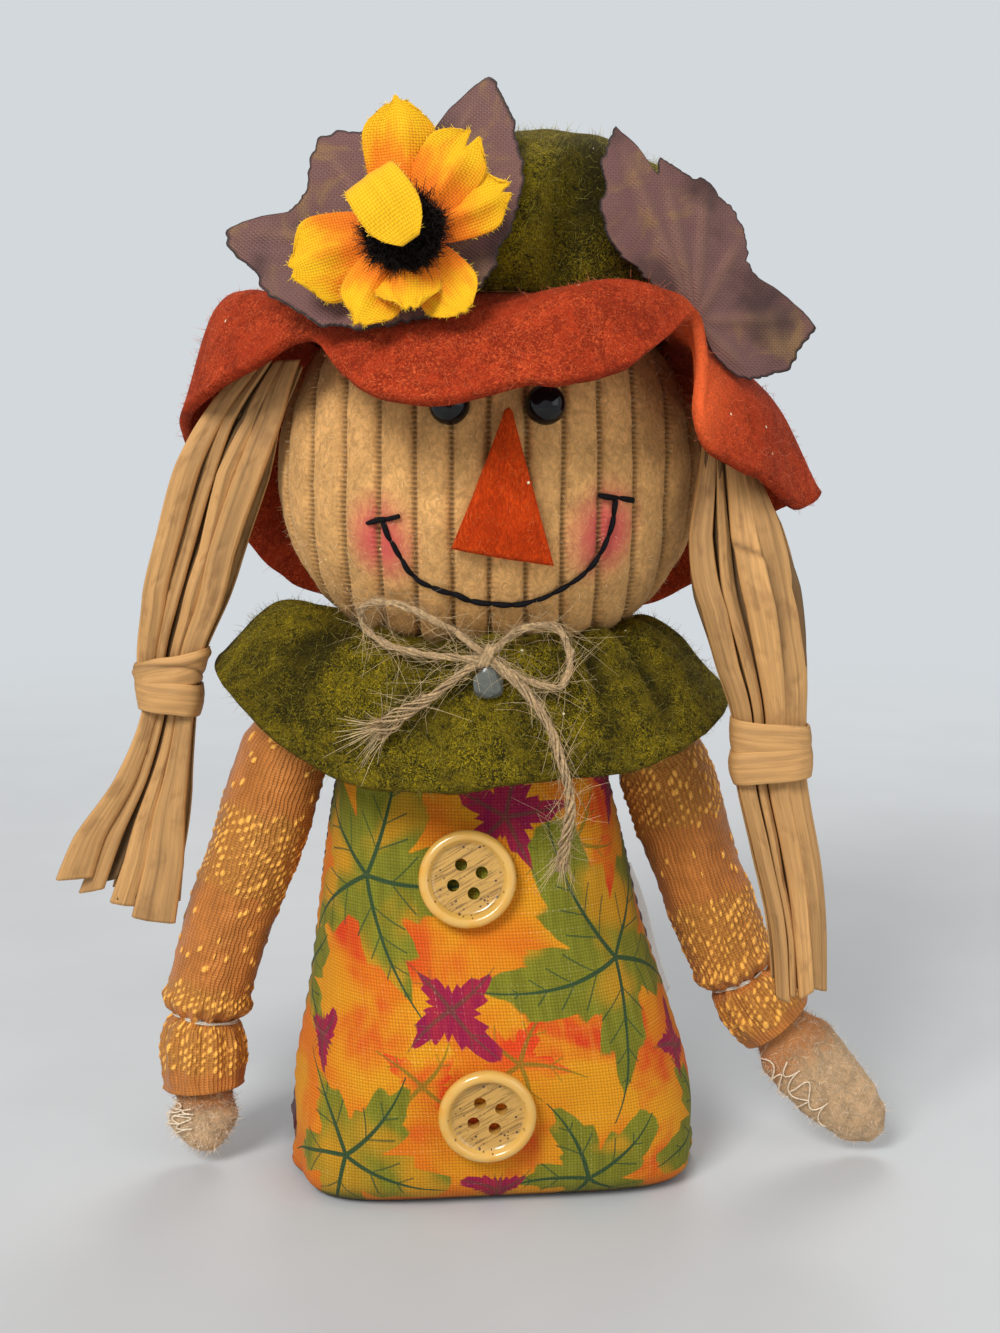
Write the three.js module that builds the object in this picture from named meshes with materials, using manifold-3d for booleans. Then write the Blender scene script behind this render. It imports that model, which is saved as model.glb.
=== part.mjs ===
// A stuffed scarecrow doll that sits on a shelf: a weighted cotton bag body, a corduroy ball head, a felt hat
// with leaves and a sunflower, a felt ruffle collar with a twine bow, knit arms and raffia pigtails.
// Millimetres, +Z up. The doll faces -Y and its base rests on z = 0 with the origin at its middle.
import * as THREE from 'three';
import { mergeVertices } from 'three/addons/utils/BufferGeometryUtils.js';
import Module from 'manifold-3d';

const wasm = await Module();
wasm.setup();

// Clearances
const SEAT_GAP = 0.3;
const FILLING_GAP = 0.5;

// Body bag
const BODY_HEIGHT = 69.6;
const BASE_WIDTH = 54;
const BASE_DEPTH = 40;
const BELLY_WIDTH = 54.8;
const BELLY_DEPTH = 49;
const BELLY_HEIGHT = 14;
const CHEST_WIDTH = 38.6;
const CHEST_DEPTH = 35;
const CHEST_HEIGHT = 51.5;
const NECK_WIDTH = 18;
const COTTON = 0.8;
const BODY_LEAN = -2;
const BODY_SQUARENESS = 2.6;
const BASE_SQUARENESS = 5;
const BASE_TURN = 6;
const PELLET_LEVEL = 27;
const LABEL_WIDTH = 6;
const LABEL_DEPTH = 7;
const LABEL_ANGLE = 72;
const LABEL_LENGTH = 20;
const LABEL_CLOTH = 0.4;
const LABEL_HEIGHT = 28;

// Buttons
const BUTTON_DIAMETER = 12.7;
const BUTTON_THICKNESS = 2.4;
const BUTTON_RIM = 1.5;
const BUTTON_HOLE = 1.4;
const BUTTON_HOLE_SPACING = 2.3;
const BUTTON_UPPER_AT = [-2.7, 43.4];
const BUTTON_LOWER_AT = [-0.2, 14];

// Head and face
const HEAD_WIDTH = 56.8;
const HEAD_DEPTH = 55;
const HEAD_HEIGHT = 54;
const CORDUROY = 1.2;
const EYE_DIAMETER = 5;
const EYE_SPACING = 11.3;
const EYE_RISE = 8.2;
const FACE_SHIFT = 1.2;
const NOSE_FELT = 1.4;
const MOUTH_THREAD = 1;

// Hat
const HAT_FELT = 1.5;
const HAT_EASE = 2.9;
const HAT_SEAM_DROP = 8.8;
const HAT_TILT = 0.125;
const CROWN_HEIGHT = 24.6;
const CROWN_PEAK_SHIFT = 7;
const PLEAT_DEPTH = 4.5;
const PLEAT_AZIMUTH = 20;
const PLEAT_SPREAD = 9;
const LEAF_CLOTH = 0.6;
const LEAF_LEFT_STAND = 5.4;
const LEAF_RIGHT_SET_BACK = 3.4;

// Sunflower
const PETAL_CLOTH = 0.5;
const FLOWER_X = -9.3;
const FLOWER_RISE = 27.6;
const FLOWER_CENTRE_DIAMETER = 10;
const FLOWER_CENTRE_DEPTH = 4.2;
const CALYX_DIAMETER = 5.6;
const CALYX_DEPTH = 3;

// Collar and bow
const COLLAR_FELT = 1.5;
const COLLAR_NECK_DIAMETER = 23;
const TWINE_DIAMETER = 1.9;
const GLUE_DIAMETER = 3.4;

// Arms
const SLEEVE_CLOTH = 0.8;
const SHOULDER_DIAMETER = 12.6;
const ELBOW_DIAMETER = 12.2;
const WRIST_DIAMETER = 10.2;
const CUFF_DIAMETER = 11.6;
const HAND_WIDTH = 9.6;
const HAND_THICKNESS = 6;
const WRIST_THREAD = 1;
const SHANK_DIAMETER = 4;
const SHANK_LENGTH = 2.6;
const SHOULDER_DROP = 8.6;
const ARM_REACH = 59.4;

// Pigtails
const RIBBONS = 4;
const RIBBON_GAP = 0.4;
const RIBBON_BEVEL = 0.5;
const TIE_THICKNESS = 0.9;
const TIE_WIDTH = 7.8;

const UP = new THREE.Vector3(0, 0, 1);
const FRONT = new THREE.Vector3(0, -1, 0);
const degrees = THREE.MathUtils.degToRad;
const { clamp, lerp } = THREE.MathUtils;

// A smooth curve through [position, value] stations, with positions rising.
function through(stations) {
  const at = (i) => stations[clamp(i, 0, stations.length - 1)];
  return (position) => {
    let i = stations.length - 2;
    while (i > 0 && stations[i][0] > position) i -= 1;
    const [[p0, v0], [p1, v1], [p2, v2], [p3, v3]] = [at(i - 1), at(i), at(i + 1), at(i + 2)];
    const span = p2 - p1;
    const u = clamp((position - p1) / span, 0, 1);
    const rise1 = ((v2 - v0) / (p2 - p0)) * span;
    const rise2 = ((v3 - v1) / (p3 - p1)) * span;
    const leave = u * (1 - u) ** 2 * rise1;
    const arrive = u ** 2 * (u - 1) * rise2;
    return lerp(v1, v2, u ** 2 * (3 - 2 * u)) + leave + arrive;
  };
}

// The same round a full turn: stations are [degrees, value] pairs from -180 to 180.
function around(stations) {
  const before = stations.map(([angle, value]) => [angle - 360, value]);
  const after = stations.map(([angle, value]) => [angle + 360, value]);
  const curve = through([...before, ...stations, ...after]);
  return (angle) => curve(THREE.MathUtils.euclideanModulo(angle + 180, 360) - 180);
}

// Keeps positions alone, with shared vertices and no empty faces, so that a solid can be bent and cut.
function welded(geometry) {
  geometry.deleteAttribute('normal');
  geometry.deleteAttribute('uv');
  const merged = mergeVertices(geometry, 1e-4);
  const corners = merged.index.array;
  const kept = [];
  for (let i = 0; i < corners.length; i += 3) {
    const [a, b, c] = corners.slice(i, i + 3);
    if (a !== b && b !== c && c !== a) kept.push(a, b, c);
  }
  merged.setIndex(kept);
  return merged;
}

// Moves every vertex of a welded solid.
function bent(geometry, move) {
  const solid = welded(geometry);
  const position = solid.attributes.position;
  const vertex = new THREE.Vector3();
  for (let i = 0; i < position.count; i += 1) {
    vertex.fromBufferAttribute(position, i);
    position.setXYZ(i, ...move(vertex.clone()).toArray());
  }
  return facingOut(solid);
}

// Turns the faces round where a bend or a mirror has left them pointing inwards.
function facingOut(solid) {
  if (manifoldOf(solid).volume() > 0) return solid;
  const corners = solid.index.array;
  for (let i = 0; i < corners.length; i += 3) {
    [corners[i + 1], corners[i + 2]] = [corners[i + 2], corners[i + 1]];
  }
  return solid;
}

function manifoldOf(geometry) {
  const solid = geometry.attributes.normal || geometry.attributes.uv ? welded(geometry) : geometry;
  return new wasm.Manifold(
    new wasm.Mesh({
      numProp: 3,
      vertProperties: new Float32Array(solid.attributes.position.array),
      triVerts: new Uint32Array(solid.index.array),
    }),
  );
}

function geometryOf(manifold) {
  const mesh = manifold.getMesh();
  const geometry = new THREE.BufferGeometry();
  geometry.setAttribute('position', new THREE.BufferAttribute(mesh.vertProperties, 3));
  geometry.setIndex(new THREE.BufferAttribute(mesh.triVerts, 1));
  return geometry;
}

const joined = (...solids) => geometryOf(solids.map(manifoldOf).reduce((a, b) => a.add(b)));
const cut = (solid, ...tools) =>
  geometryOf(tools.map(manifoldOf).reduce((a, b) => a.subtract(b), manifoldOf(solid)));
const common = (a, b) => geometryOf(manifoldOf(a).intersect(manifoldOf(b)));

// An upright block between two opposite corners.
function block(corner, opposite) {
  const box = new THREE.Box3().setFromPoints([corner, opposite]);
  const size = box.getSize(new THREE.Vector3());
  const middle = box.getCenter(new THREE.Vector3());
  return new THREE.BoxGeometry(size.x, size.y, size.z).translate(middle.x, middle.y, middle.z);
}

// A cloth sheet round a middle: place(angle, share) gives its mid surface, with angle in degrees from
// the front towards +X and share running from the inner edge (0) to the outer edge (1).
function sheet({ turns, rings, thickness, place, open }) {
  const shares = Array.from({ length: rings + 1 }, (_, i) => i / rings);
  const inner = open ? 1 : 0;
  const top = shares.map((share) => new THREE.Vector2(inner + share, 0.5));
  const under = shares.map((share) => new THREE.Vector2(inner + share, -0.5)).reverse();
  const profile = open ? [...top, ...under, top[0]] : [...top, ...under];
  const step = 0.01;
  return bent(new THREE.LatheGeometry(profile, turns), (v) => {
    const share = Math.hypot(v.x, v.z) - inner;
    const angle = THREE.MathUtils.radToDeg(Math.atan2(v.x, v.z));
    const middle = place(angle, share);
    const near = Math.max(share, step);
    const outward = place(angle, near + step).sub(place(angle, near - step));
    const along = place(angle + 100 * step, near).sub(place(angle - 100 * step, near));
    const normal = outward.cross(along).normalize();
    return middle.addScaledVector(normal, v.y * thickness);
  });
}

// A stuffed tube along a curve: radius(share) is its half thickness, width(share) widens it across, and
// a wall opens its far end as a cuff.
function stuffed({ curve, from, to, rings, sides, radius, width = () => 1, inset = 0, wall = 0 }) {
  const shares = Array.from({ length: rings + 1 }, (_, i) => lerp(from, to, i / rings));
  const outer = shares.map((share) => new THREE.Vector2(Math.max(radius(share) - inset, 0.05), share));
  const profile = [new THREE.Vector2(0, from), ...outer];
  if (wall > 0) {
    const lining = shares.map((share) => new THREE.Vector2(Math.max(radius(share) - wall, 0.05), share));
    lining[0].y = from + wall / curve.getLength();
    profile.push(...lining.reverse(), new THREE.Vector2(0, lining[lining.length - 1].y));
  } else {
    profile.push(new THREE.Vector2(0, to));
  }
  return bent(new THREE.LatheGeometry(profile, sides), (v) => {
    const share = clamp(v.y, 0, 1);
    const tangent = curve.getTangentAt(share);
    const across = new THREE.Vector3().crossVectors(tangent, FRONT).normalize();
    const forward = new THREE.Vector3().crossVectors(across, tangent).normalize();
    return curve.getPointAt(share).addScaledVector(across, v.x * width(share)).addScaledVector(forward, v.z);
  });
}

// A round cord along a route of points, with square ends.
function cord(points, diameter, sides, steps) {
  const route = new THREE.CatmullRomCurve3(points, false, 'centripetal');
  const section = new THREE.Shape();
  section.absarc(0, 0, diameter / 2, 0, 2 * Math.PI);
  const options = { steps, curveSegments: sides / 2, extrudePath: route, bevelEnabled: false };
  return facingOut(welded(new THREE.ExtrudeGeometry(section, options)));
}

const bodies = new THREE.Group();

// Adds one named piece with its own material.
function piece(name, geometry, color, roughness) {
  const solid = geometry.attributes.normal ? welded(geometry) : geometry;
  solid.computeVertexNormals();
  const mesh = new THREE.Mesh(solid, new THREE.MeshStandardMaterial({ color, roughness, metalness: 0 }));
  mesh.name = name;
  bodies.add(mesh);
  return mesh;
}

// The first point that a look from the front meets on the given pieces.
const LOOK_FROM = -500;
function frontOf(pieces, x, z) {
  const ray = new THREE.Raycaster(new THREE.Vector3(x, LOOK_FROM, z), new THREE.Vector3(0, 1, 0));
  const hit = ray.intersectObjects(pieces, false)[0];
  return hit ? { point: hit.point, normal: hit.face.normal } : undefined;
}

// Colours
const COTTON_PRINT = '#d98a1f';
const COTTON_BACK = '#6d1f2c';
const BUTTON_COLOUR = '#e5c16d';
const CORDUROY_COLOUR = '#c99f66';
const FELT_RUST = '#b23a1e';
const FELT_OLIVE = '#5d5a16';
const LEAF_COLOUR = '#6b5157';
const PETAL_COLOUR = '#f7b515';
const RAFFIA_COLOUR = '#ad8355';
const KNIT_COLOUR = '#a8622f';
const FIBRE = '#ece8df';

// Body bag: a soft box that swells at the belly and narrows to the neck
const MID_HEIGHT = (BELLY_HEIGHT + CHEST_HEIGHT) / 2;
const bodyHalfWidth = through([
  [0, BASE_WIDTH / 2],
  [0.2 * BELLY_HEIGHT, (0.3 * BASE_WIDTH + 0.7 * BELLY_WIDTH) / 2],
  [0.8 * BELLY_HEIGHT, BELLY_WIDTH / 2],
  [MID_HEIGHT, (0.44 * BELLY_WIDTH + 0.56 * CHEST_WIDTH) / 2],
  [CHEST_HEIGHT, CHEST_WIDTH / 2],
  [lerp(CHEST_HEIGHT, BODY_HEIGHT, 0.5), (0.8 * CHEST_WIDTH + 0.2 * NECK_WIDTH) / 2],
  [lerp(CHEST_HEIGHT, BODY_HEIGHT, 0.8), (0.35 * CHEST_WIDTH + 0.65 * NECK_WIDTH) / 2],
  [BODY_HEIGHT, NECK_WIDTH / 2],
]);
const bodyHalfDepth = through([
  [0, BASE_DEPTH / 2],
  [0.2 * BELLY_HEIGHT, (0.5 * BASE_DEPTH + 0.5 * BELLY_DEPTH) / 2],
  [BELLY_HEIGHT, 0.985 * (BELLY_DEPTH / 2)],
  [1.45 * BELLY_HEIGHT, BELLY_DEPTH / 2],
  [lerp(BELLY_HEIGHT, CHEST_HEIGHT, 0.65), (0.4 * BELLY_DEPTH + 0.6 * CHEST_DEPTH) / 2],
  [CHEST_HEIGHT, CHEST_DEPTH / 2],
  [lerp(CHEST_HEIGHT, BODY_HEIGHT, 0.5), (0.8 * CHEST_DEPTH + 0.2 * NECK_WIDTH) / 2],
  [lerp(CHEST_HEIGHT, BODY_HEIGHT, 0.8), (0.35 * CHEST_DEPTH + 0.65 * NECK_WIDTH) / 2],
  [BODY_HEIGHT, NECK_WIDTH / 2],
]);
const bodyMiddle = through([
  [0, 0],
  [BELLY_HEIGHT, 0],
  [0.6 * BODY_HEIGHT, BODY_LEAN],
  [0.85 * BODY_HEIGHT, BODY_LEAN],
  [BODY_HEIGHT, 0],
]);
// The bag is squarer at its foot, and turned a little there
const bodySquareness = through([
  [0, BASE_SQUARENESS],
  [0.6 * BELLY_HEIGHT, lerp(BASE_SQUARENESS, BODY_SQUARENESS, 0.5)],
  [1.8 * BELLY_HEIGHT, BODY_SQUARENESS],
  [BODY_HEIGHT, BODY_SQUARENESS],
]);
const bodyTurn = through([
  [0, degrees(BASE_TURN)],
  [CHEST_HEIGHT, 0],
  [BODY_HEIGHT, 0],
]);
function bagSpot(angle, height, inset) {
  const round = (c) => Math.sign(c) * Math.abs(c) ** (2 / bodySquareness(height));
  const across = (bodyHalfWidth(height) - inset) * round(Math.sin(angle));
  const along = -(bodyHalfDepth(height) - inset) * round(Math.cos(angle));
  const turn = bodyTurn(height);
  const x = across * Math.cos(turn) - along * Math.sin(turn);
  const y = across * Math.sin(turn) + along * Math.cos(turn);
  return new THREE.Vector3(bodyMiddle(height) + x, y, height);
}
const BODY_SIDES = 36;
const BODY_LEVELS = 11;

// The bag's form drawn in by an inset, running past both ends by an overrun
function bagSolid(inset, overrun = 0) {
  const levels = Array.from({ length: BODY_LEVELS + 1 }, (_, i) => BODY_HEIGHT * (i / BODY_LEVELS) ** 1.15);
  if (overrun > 0) {
    levels.unshift(-overrun);
    levels.push(BODY_HEIGHT + overrun);
  }
  const bottom = levels[0];
  const top = levels[levels.length - 1];
  const side = levels.map((height) => new THREE.Vector2(1, height));
  const profile = [new THREE.Vector2(0, bottom), ...side, new THREE.Vector2(0, top)];
  return bent(new THREE.LatheGeometry(profile, BODY_SIDES), (v) => {
    const share = Math.hypot(v.x, v.z);
    const angle = Math.atan2(v.x, v.z);
    const height = clamp(v.y, 0, BODY_HEIGHT);
    const middle = new THREE.Vector3(bodyMiddle(height), 0, height);
    const spot = bagSpot(angle, height, inset).sub(middle).multiplyScalar(share).add(middle);
    return spot.setZ(v.y);
  });
}

const far = 2 * BODY_HEIGHT;
const bagOutside = bagSolid(0);
const bagLining = bagSolid(COTTON, 1);
const bagWall = cut(bagOutside, bagLining);
const frontHalf = block(new THREE.Vector3(-far, -far, -far), new THREE.Vector3(far, -SEAT_GAP / 2, far));
const backHalf = block(new THREE.Vector3(-far, SEAT_GAP / 2, -far), new THREE.Vector3(far, far, far));
const frontPanel = piece('front_panel', common(bagWall, frontHalf), COTTON_PRINT, 0.9);
const backPanel = piece('back_panel', common(bagWall, backHalf), COTTON_BACK, 0.9);

const bagInside = bagSolid(COTTON + FILLING_GAP);
const slice = (low, high) => block(new THREE.Vector3(-far, -far, low), new THREE.Vector3(far, far, high));
piece('base_panel', common(bagInside, slice(-far, COTTON)), COTTON_BACK, 0.9);
piece('pellet_filling', common(bagInside, slice(COTTON + SEAT_GAP, PELLET_LEVEL)), '#d8d5c8', 0.6);
piece('body_filling', common(bagInside, slice(PELLET_LEVEL + SEAT_GAP, BODY_HEIGHT - SEAT_GAP)), FIBRE, 1);

// Side label: a blank tape folded at its outer end, caught just behind the side seam
function sideLabel() {
  const root = (height) => {
    let low = Math.PI / 2;
    let high = Math.PI;
    for (let halving = 0; halving < 24; halving += 1) {
      const angle = (low + high) / 2;
      if (bagSpot(angle, height, 0).y < LABEL_DEPTH) low = angle;
      else high = angle;
    }
    return bagSpot(low, height, 0);
  };
  const low = root(LABEL_HEIGHT - LABEL_LENGTH / 2);
  const high = root(LABEL_HEIGHT + LABEL_LENGTH / 2);
  const ply = LABEL_CLOTH;
  const bend = LABEL_WIDTH - 1.5 * ply;
  const fold = new THREE.Shape();
  fold.moveTo(-2, 0);
  fold.lineTo(bend, 0);
  fold.absarc(bend, 1.5 * ply, 1.5 * ply, -Math.PI / 2, Math.PI / 2, false);
  fold.lineTo(0, 3 * ply);
  fold.lineTo(0, 2 * ply);
  fold.lineTo(bend, 2 * ply);
  fold.absarc(bend, 1.5 * ply, 0.5 * ply, Math.PI / 2, -Math.PI / 2, true);
  fold.lineTo(-2, ply);
  const options = { depth: LABEL_LENGTH, bevelEnabled: false, curveSegments: 4 };
  const tape = new THREE.ExtrudeGeometry(fold, options);
  tape.rotateZ(degrees(LABEL_ANGLE)).rotateY(Math.atan2(high.x - low.x, high.z - low.z));
  return tape.translate(low.x, low.y, low.z);
}
piece('side_label', cut(sideLabel(), bagSolid(-SEAT_GAP)), '#f2f1ee', 0.9);

// Buttons: a dished disc with a raised rim and four holes, flat on the bag's front
function button() {
  const radius = BUTTON_DIAMETER / 2;
  const dish = 0.55 * BUTTON_THICKNESS;
  const profile = [
    [0, 0],
    [radius - BUTTON_RIM, 0],
    [radius, 0.4 * BUTTON_THICKNESS],
    [radius, 0.75 * BUTTON_THICKNESS],
    [radius - 0.3 * BUTTON_RIM, BUTTON_THICKNESS],
    [radius - 0.8 * BUTTON_RIM, BUTTON_THICKNESS],
    [radius - 1.4 * BUTTON_RIM, dish],
    [0, dish],
  ].map(([r, h]) => new THREE.Vector2(r, h));
  const disc = new THREE.LatheGeometry(profile, 24);
  const holes = [0, 1, 2, 3].map((i) => {
    const angle = degrees(45 + 20 + 90 * i);
    const reach = BUTTON_HOLE_SPACING / Math.SQRT2;
    const hole = new THREE.CylinderGeometry(BUTTON_HOLE / 2, BUTTON_HOLE / 2, 3 * BUTTON_THICKNESS, 8);
    return hole.translate(reach * Math.cos(angle), 0, reach * Math.sin(angle));
  });
  return cut(disc, ...holes);
}

// Lies a shape built along +Y on the surface of the given pieces, facing out.
function seated(shape, pieces, x, z, lift = SEAT_GAP) {
  const reach = BUTTON_DIAMETER / 4;
  const spots = [[0, 0], [reach, 0], [-reach, 0], [0, reach], [0, -reach]].map(
    ([dx, dz]) => frontOf(pieces, x + dx, z + dz).point,
  );
  const across = new THREE.Vector3().subVectors(spots[1], spots[2]);
  const upward = new THREE.Vector3().subVectors(spots[3], spots[4]);
  const normal = across.cross(upward).normalize();
  if (normal.y > 0) normal.negate();
  const turn = new THREE.Quaternion().setFromUnitVectors(new THREE.Vector3(0, 1, 0), normal);
  const highest = Math.max(...spots.map((spot) => spot.clone().sub(spots[0]).dot(normal)), 0);
  const place = spots[0].clone().addScaledVector(normal, highest + lift);
  return shape.applyMatrix4(new THREE.Matrix4().compose(place, turn, new THREE.Vector3(1, 1, 1)));
}
piece('button_upper', seated(button(), [frontPanel], ...BUTTON_UPPER_AT), BUTTON_COLOUR, 0.3);
piece('button_lower', seated(button(), [frontPanel], ...BUTTON_LOWER_AT), BUTTON_COLOUR, 0.3);

// Head: a corduroy ball sewn shut round the neck, with fibre inside
const neckRise = (HEAD_HEIGHT / 2) * Math.sqrt(1 - (NECK_WIDTH / HEAD_WIDTH) ** 2);
const HEAD_Z = BODY_HEIGHT + SEAT_GAP + neckRise;
const HEAD_SIDES = 24;
const HEAD_RINGS = 10;

function ballOutline(inset, neck) {
  const high = HEAD_HEIGHT / 2 - inset;
  const wide = HEAD_WIDTH / 2 - inset;
  const lowest = Math.asin(clamp(neck / wide, 0, 1));
  return Array.from({ length: HEAD_RINGS + 1 }, (_, i) => {
    const angle = lerp(Math.PI - lowest, 0, i / HEAD_RINGS);
    return new THREE.Vector2(i === HEAD_RINGS ? 0 : wide * Math.sin(angle), high * Math.cos(angle));
  });
}

function ballPlaced(profile) {
  const shape = new THREE.LatheGeometry(profile, HEAD_SIDES).rotateX(Math.PI / 2);
  shape.scale(1, HEAD_DEPTH / HEAD_WIDTH, 1).translate(0, 0, HEAD_Z);
  return facingOut(welded(shape));
}

const ballSkin = ballOutline(0, NECK_WIDTH / 2).reverse();
const ballLining = ballOutline(CORDUROY, NECK_WIDTH / 2 - CORDUROY);
const headCover = piece('head_cover', ballPlaced([...ballSkin, ...ballLining]), CORDUROY_COLOUR, 0.95);
const headBall = (inset, neck) => {
  const outline = ballOutline(inset, neck);
  return ballPlaced([new THREE.Vector2(0, outline[0].y), ...outline]);
};
piece('head_filling', headBall(CORDUROY + FILLING_GAP, NECK_WIDTH / 2 - 1), FIBRE, 1);

// Eyes: glossy beads sewn on, each seated on the corduroy
function eye(side) {
  const x = FACE_SHIFT + (side * EYE_SPACING) / 2;
  const z = HEAD_Z + EYE_RISE;
  const spot = frontOf([headCover], x, z);
  const middle = spot.point.clone().addScaledVector(spot.normal, 0.25 * EYE_DIAMETER);
  const bead = new THREE.SphereGeometry(EYE_DIAMETER / 2, 14, 9).rotateX(Math.PI / 2);
  bead.translate(middle.x, middle.y, middle.z);
  return cut(bead, headBall(-SEAT_GAP, 0));
}
piece('eye_left', eye(-1), '#0b0b0c', 0.1);
piece('eye_right', eye(1), '#0b0b0c', 0.1);

// The head's front face at x and z, pushed out by a lift
function onHead(x, z, lift) {
  const wide = HEAD_WIDTH / 2 + lift;
  const deep = HEAD_DEPTH / 2 + lift;
  const high = HEAD_HEIGHT / 2 + lift;
  const inside = Math.max(1 - (x / wide) ** 2 - ((z - HEAD_Z) / high) ** 2, 0);
  return new THREE.Vector3(x, -deep * Math.sqrt(inside), z);
}

// Nose: a flat felt triangle glued on and curved with the face
const NOSE_TOP = [2.5, 8.0];
const NOSE_LEFT = [-4.3, -8.6];
const NOSE_RIGHT = [8.0, -10.8];
function nose() {
  const rows = 4;
  const outline = new THREE.Shape();
  const corners = [NOSE_TOP, NOSE_LEFT, NOSE_RIGHT];
  corners.forEach(([x, z], corner) => {
    const [nextX, nextZ] = corners[(corner + 1) % corners.length];
    for (let i = 0; i < rows; i += 1) {
      const point = [lerp(x, nextX, i / rows), lerp(z, nextZ, i / rows)];
      if (corner === 0 && i === 0) outline.moveTo(...point);
      else outline.lineTo(...point);
    }
  });
  const options = { depth: NOSE_FELT, bevelEnabled: false };
  const flat = new THREE.ExtrudeGeometry(outline, options);
  return bent(flat, (v) => onHead(v.x, HEAD_Z + v.y, 2 * SEAT_GAP + v.z));
}
piece('nose', nose(), '#d2421b', 0.95);

// Mouth: black thread from cheek to cheek, with a short stitch across each end
const MOUTH_ROUTE = [
  [-13.0, -5.6],
  [-11.2, -9.6],
  [-8.4, -13.0],
  [-4.2, -14.8],
  [0.6, -16.0],
  [5.2, -15.8],
  [9.4, -14.0],
  [12.8, -11.4],
  [15.0, -7.4],
  [15.8, -3.0],
];
const MOUTH_END_LEFT = [[-15.0, -5.9], [-12.9, -5.4], [-10.8, -4.9]];
const MOUTH_END_RIGHT = [[13.6, -2.4], [15.8, -2.7], [18.0, -3.1]];
function stitches(route, steps) {
  const lift = MOUTH_THREAD / 2 + 2 * SEAT_GAP;
  const points = new THREE.CatmullRomCurve3(route.map(([x, z]) => new THREE.Vector3(x, 0, z)));
  const laid = points.getSpacedPoints(2 * route.length).map(({ x, z }) => onHead(x, HEAD_Z + z, lift));
  return cord(laid, MOUTH_THREAD, 6, steps);
}
const mouthEnds = [stitches(MOUTH_END_LEFT, 5), stitches(MOUTH_END_RIGHT, 5)];
piece('mouth_thread', joined(stitches(MOUTH_ROUTE, 30), ...mouthEnds), '#141012', 0.8);

// Hat seam: a tilted ring round the head, higher at the front
const HAT_Z = HEAD_Z + HEAD_HEIGHT / 2 - HAT_SEAM_DROP;
const seamRadius = HEAD_WIDTH / 2 - HAT_EASE;
const seamHeight = (y) => HAT_Z - HAT_TILT * y;

// Crown: a puffed dome with one deep pleat, outlined as shares of the seam's radius and the crown's height
const crownOutline = [
  [1, 0],
  [1.065, 0.15],
  [1.11, 0.38],
  [1.05, 0.6],
  [0.86, 0.78],
  [0.57, 0.91],
  [0.29, 0.975],
];
const CROWN_SIDES = 32;
function crownPlaced(profile) {
  return bent(new THREE.LatheGeometry(profile, CROWN_SIDES), (v) => {
    const angle = THREE.MathUtils.radToDeg(Math.atan2(v.x, v.z));
    const share = clamp(v.y / CROWN_HEIGHT, 0, 1);
    const nearPleat = Math.exp(-(((angle - PLEAT_AZIMUTH) / PLEAT_SPREAD) ** 2));
    const pleat = PLEAT_DEPTH * nearPleat * Math.sin(Math.PI * share ** 0.7);
    const puff = 0.7 * Math.sin(degrees(3 * angle + 40)) * share;
    const radius = Math.max(Math.hypot(v.x, v.z) - pleat + puff * Math.min(Math.hypot(v.x, v.z) / 5, 1), 0);
    const x = radius * Math.sin(degrees(angle)) + CROWN_PEAK_SHIFT * share ** 2;
    const y = -radius * Math.cos(degrees(angle));
    return new THREE.Vector3(x, y, seamHeight(y) + v.y);
  });
}
function crownProfile(inset, start) {
  const points = crownOutline.map(([r, h]) => {
    const height = Math.max(h * (CROWN_HEIGHT - inset), start);
    return new THREE.Vector2(r * seamRadius - inset, height);
  });
  return [...points, new THREE.Vector2(0, CROWN_HEIGHT - inset)];
}
const crownFoot = HAT_FELT / 2 + 3 * SEAT_GAP;
const crownOuter = crownProfile(0, crownFoot);
const crownInner = crownProfile(HAT_FELT, crownFoot);
const crownStuffing = crownProfile(HAT_FELT + FILLING_GAP, crownFoot + 1.5);
piece(
  'hat_filling',
  cut(crownPlaced([new THREE.Vector2(0, crownStuffing[0].y), ...crownStuffing]), headBall(-SEAT_GAP, 0)),
  FIBRE,
  1,
);

// Brim: floppy felt, by angle from the front: how far it reaches out from the seam and rises above it,
// half-way across and at its edge
const brimMidReach = around([
  [-170, 5.5], [-135, 7.5], [-110, 9.5], [-92, 9.5], [-72, 8.5], [-55, 6.5], [-38, 5.5], [-22, 7.5],
  [-8, 8.5], [8, 9], [20, 9.5], [32, 9], [45, 6.5], [53, 6.5], [62, 9], [76, 11], [90, 11.5], [110, 8.5],
  [135, 6.5], [170, 5.5],
]);
const brimMidRise = around([
  [-170, -15], [-135, -12], [-110, -5], [-92, 3], [-72, 3], [-55, 1.2], [-38, 0.2], [-22, -2.4],
  [-8, -4], [6, -3.2], [16, -0.6], [26, 1], [37, 0.8], [45, 0.6], [53, -3], [62, -6.8], [76, -8.8],
  [90, -9.6], [110, -11.5], [135, -14], [170, -15],
]);
const brimEdgeReach = around([
  [-170, 7.5], [-135, 15.5], [-110, 17], [-92, 16], [-72, 14], [-55, 11], [-38, 9], [-22, 13.5],
  [-8, 15], [8, 15], [20, 15], [31, 12.9], [39, 10.8], [45, 9.9], [52, 10.4], [62, 12], [70, 14.2],
  [78, 15.6], [86, 18.8], [95, 18], [110, 14.5], [135, 13.5], [170, 7.5],
]);
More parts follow.
